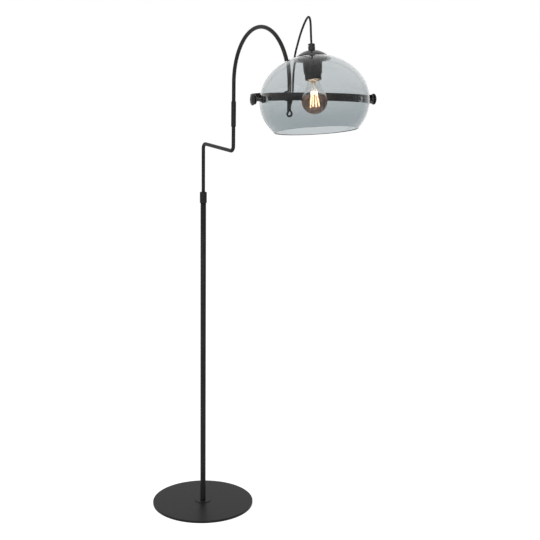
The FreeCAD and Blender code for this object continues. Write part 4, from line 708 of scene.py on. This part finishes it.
def filaments():
    """Sticks, each a capsule turned about its own axis, then tipped and set round the stem."""
    tip = np.linspace(0, np.pi / 2, 7)
    stick = np.stack([FILAMENT_RADIUS * np.sin(tip), FILAMENT_RADIUS * (1 - np.cos(tip))], -1)
    outline = np.concatenate([stick, np.stack([stick[::-1, 0], FILAMENT_LENGTH - stick[::-1, 1]], -1)])
    one = turn(outline, 16)
    alone = grid_faces(*one.shape[:2], wrap_columns=False)
    spots, faces = [], []
    for index in range(FILAMENT_COUNT):
        around = math.radians(360 / FILAMENT_COUNT * index + 45)
        stand = (Matrix.Rotation(around, 4, "Z") @ Matrix.Translation((FILAMENT_INSET, 0, FILAMENT_TOP))
                 @ Matrix.Rotation(math.pi - FILAMENT_LEAN, 4, "Y"))
        spots.append(one.reshape(-1, 3) @ np.array(stand.to_3x3()).T + np.array(stand.translation))
        faces.append(alone + index * one.shape[0] * one.shape[1])
    piece("filament_sticks", np.concatenate(spots), np.concatenate(faces), "filament_coating", "shade",
          ["bulb_filaments"], SHADE)


# ---------------------------------------------------------------- cord

# Route of the pendant cord, millimetres from the arm's open end: out of it, a loop under it, up past
# the band and over in a bow to the cord grip
CORD_ROUTE = [
    (0.0, 0.0, 5.0),
    (-0.4, -0.8, -1.2),
    (-1.9, -4.0, -7.1),
    (-1.6, -3.3, -11.1),
    (-0.2, -0.6, -13.7),
    (1.6, 3.0, -13.7),
    (2.8, 5.9, -11.1),
    (1.8, 7.3, -7.1),
    (-2.2, 7.3, -3.6),
    (-6.0, 6.8, -0.4),
    (-8.2, 6.2, 5.5),
    (-7.0, 8.0, 14.0),
    (-5.8, 10.9, 25.5),
    (-4.6, 12.3, 38.0),
    (-3.0, 11.6, 56.0),
    (1.0, 9.6, 79.0),
    (4.6, 8.0, 102.0),
    (11.0, 6.2, 123.0),
    (21.2, 3.6, 142.0),
    (34.0, 1.0, 159.0),
    (48.0, -2.2, 177.0),
    (64.0, -5.5, 194.0),
    (77.5, -8.0, 206.5),
    (89.0, -9.9, 215.6),
    (99.0, -11.4, 220.8),
    (107.0, -12.6, 218.5),
    (112.3, -13.5, 210.0),
    (115.0, -14.0, 198.0),
    (116.6, -14.3, 184.5),
    (118.8, -14.6, 170.7),
]
CORD_END = (586.65, -14.81, 1361.82)


def spline_points(route):
    """Points, in metres, of the smooth NURBS line whose control points are the route."""
    data = bpy.data.curves.new("route", "CURVE")
    data.dimensions = "3D"
    data.resolution_u = 10
    spline = data.splines.new("NURBS")
    spline.points.add(len(route) - 1)
    for point, place in zip(spline.points, route):
        point.co = [coordinate * MM for coordinate in place] + [1.0]
    spline.order_u = 3
    spline.use_endpoint_u = True
    holder = bpy.data.objects.new("route", data)
    line = bpy.data.meshes.new_from_object(holder)
    spots = np.zeros(len(line.vertices) * 3)
    line.vertices.foreach_get("co", spots)
    bpy.data.objects.remove(holder)
    return spots.reshape(-1, 3)


def pendant_cord():
    """Round tube carried along the route's line, from the arm's open end to the cord grip."""
    route = [(ARM_TIP + along, across, ARM_END + rise) for along, across, rise in CORD_ROUTE] + [CORD_END]
    line = spline_points(route)
    points = carry(circle(CORD_RADIUS, 24), line / MM, (0.0, 1.0, 0.0))
    rings, across = points.shape[:2]
    faces = grid_faces(rings, across, wrap_rows=False).tolist()
    faces += [list(range(across)), list(range((rings - 1) * across, rings * across))]
    cord = cord_piece("vinyl_cord", points.reshape(-1, 3), faces)
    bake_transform(cord)


def cord_piece(name, points, faces):
    """The cord's tube as an object with no parent, closed at both ends."""
    mesh = bpy.data.meshes.new(name)
    mesh.from_pydata((points * MM).tolist(), [], faces)
    shape = bmesh.new()
    shape.from_mesh(mesh)
    bmesh.ops.recalc_face_normals(shape, faces=shape.faces)
    shape.to_mesh(mesh)
    shape.free()
    mesh.shade_smooth()
    mesh.set_sharp_from_angle(angle=math.radians(50))
    mesh.materials.append(FINISHES["cord_sheath"])
    item = bpy.data.objects.new(name, mesh)
    bpy.context.scene.collection.objects.link(item)
    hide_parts("pendant_cord")
    return item


# ---------------------------------------------------------------- CAD nodes, floor and light

def finish_nodes():
    """Give every CAD node the finish of its slot."""
    for part in frame["record"]["subparts"]:
        node = frame["nodes"][part["node"]]
        node.data.materials.clear()
        node.data.materials.append(FINISHES[part["material_slot"]])


def seen_directly(tree):
    """1 for camera, glossy and transmission rays, else 0."""
    rays = add(tree, "ShaderNodeLightPath").outputs
    first = add(tree, "ShaderNodeMath", {"operation": "MAXIMUM"})
    tree.links.new(rays["Is Camera Ray"], first.inputs[0])
    tree.links.new(rays["Is Glossy Ray"], first.inputs[1])
    both = add(tree, "ShaderNodeMath", {"operation": "MAXIMUM"})
    tree.links.new(first.outputs[0], both.inputs[0])
    tree.links.new(rays["Is Transmission Ray"], both.inputs[1])
    return both.outputs[0]


def white_floor():
    """Plain pale floor that reads white and keeps a soft shadow."""
    material = bpy.data.materials.new("white_floor")
    material.use_nodes = True
    tree = material.node_tree
    tree.nodes.clear()
    diffuse = add(tree, "ShaderNodeBsdfDiffuse", {"Color": linear("f4f4f4")})
    lift = add(tree, "ShaderNodeEmission", {"Color": linear("ffffff")})
    share = add(tree, "ShaderNodeMath", {"operation": "MULTIPLY", 1: FLOOR_LIFT})
    tree.links.new(seen_directly(tree), share.inputs[0])
    tree.links.new(share.outputs[0], lift.inputs["Strength"])
    total = add(tree, "ShaderNodeAddShader")
    tree.links.new(diffuse.outputs[0], total.inputs[0])
    tree.links.new(lift.outputs[0], total.inputs[1])
    add(tree, "ShaderNodeOutputMaterial", Surface=total.outputs[0])
    corners = [(x * FLOOR_HALF, y * FLOOR_HALF, 0) for x, y in ((-1, -1), (1, -1), (1, 1), (-1, 1))]
    mesh = bpy.data.meshes.new("floor")
    mesh.from_pydata(corners, [], [(0, 1, 2, 3)])
    mesh.materials.append(material)
    floor = bpy.data.objects.new("floor", mesh)
    bpy.context.scene.collection.objects.link(floor)


def softbox(name, place, aim, size, power):
    """A rectangular lamp at a place, turned to its aim, in metres; neither the camera nor light through
    glass sees it."""
    data = bpy.data.lights.new(name, "AREA")
    data.shape = "RECTANGLE"
    data.size, data.size_y = size
    data.energy = power
    lamp = bpy.data.objects.new(name, data)
    lamp.location = place
    lamp.rotation_euler = (Vector(aim) - Vector(place)).to_track_quat("-Z", "Y").to_euler()
    lamp.visible_camera = False
    lamp.visible_transmission = False
    bpy.context.scene.collection.objects.link(lamp)


def studio():
    """White surround seen by the eye, mirrors and glass; a dimmer one that lights; two soft lamps
    beside the camera."""
    world = bpy.data.worlds.new("studio")
    bpy.context.scene.world = world
    world.use_nodes = True
    tree = world.node_tree
    tree.nodes.clear()
    fill = add(tree, "ShaderNodeBackground", {"Color": linear("ffffff"), "Strength": 0.3})
    shown = add(tree, "ShaderNodeBackground", {"Color": linear("ffffff"), "Strength": 1.0})
    mix = add(tree, "ShaderNodeMixShader", Fac=seen_directly(tree))
    tree.links.new(fill.outputs[0], mix.inputs[1])
    tree.links.new(shown.outputs[0], mix.inputs[2])
    add(tree, "ShaderNodeOutputWorld", Surface=mix.outputs[0])
    softbox("front", (4.6, -2.9, 2.3), (0.3, 0.0, 0.9), (3.4, 3.4), 110.0)
    softbox("left", (0.9, -3.2, 3.0), (0.4, 0.0, 1.0), (1.4, 1.4), 30.0)


bpy.context.scene.view_settings.view_transform = "Standard"
FINISHES = finishes()

camera()
pendant_cord()
base_and_pole()
rods()
bracket()
knobs_and_studs()
glass()
cap_and_grip()
lampholder()
bulb()
filaments()
finish_nodes()
white_floor()
studio()
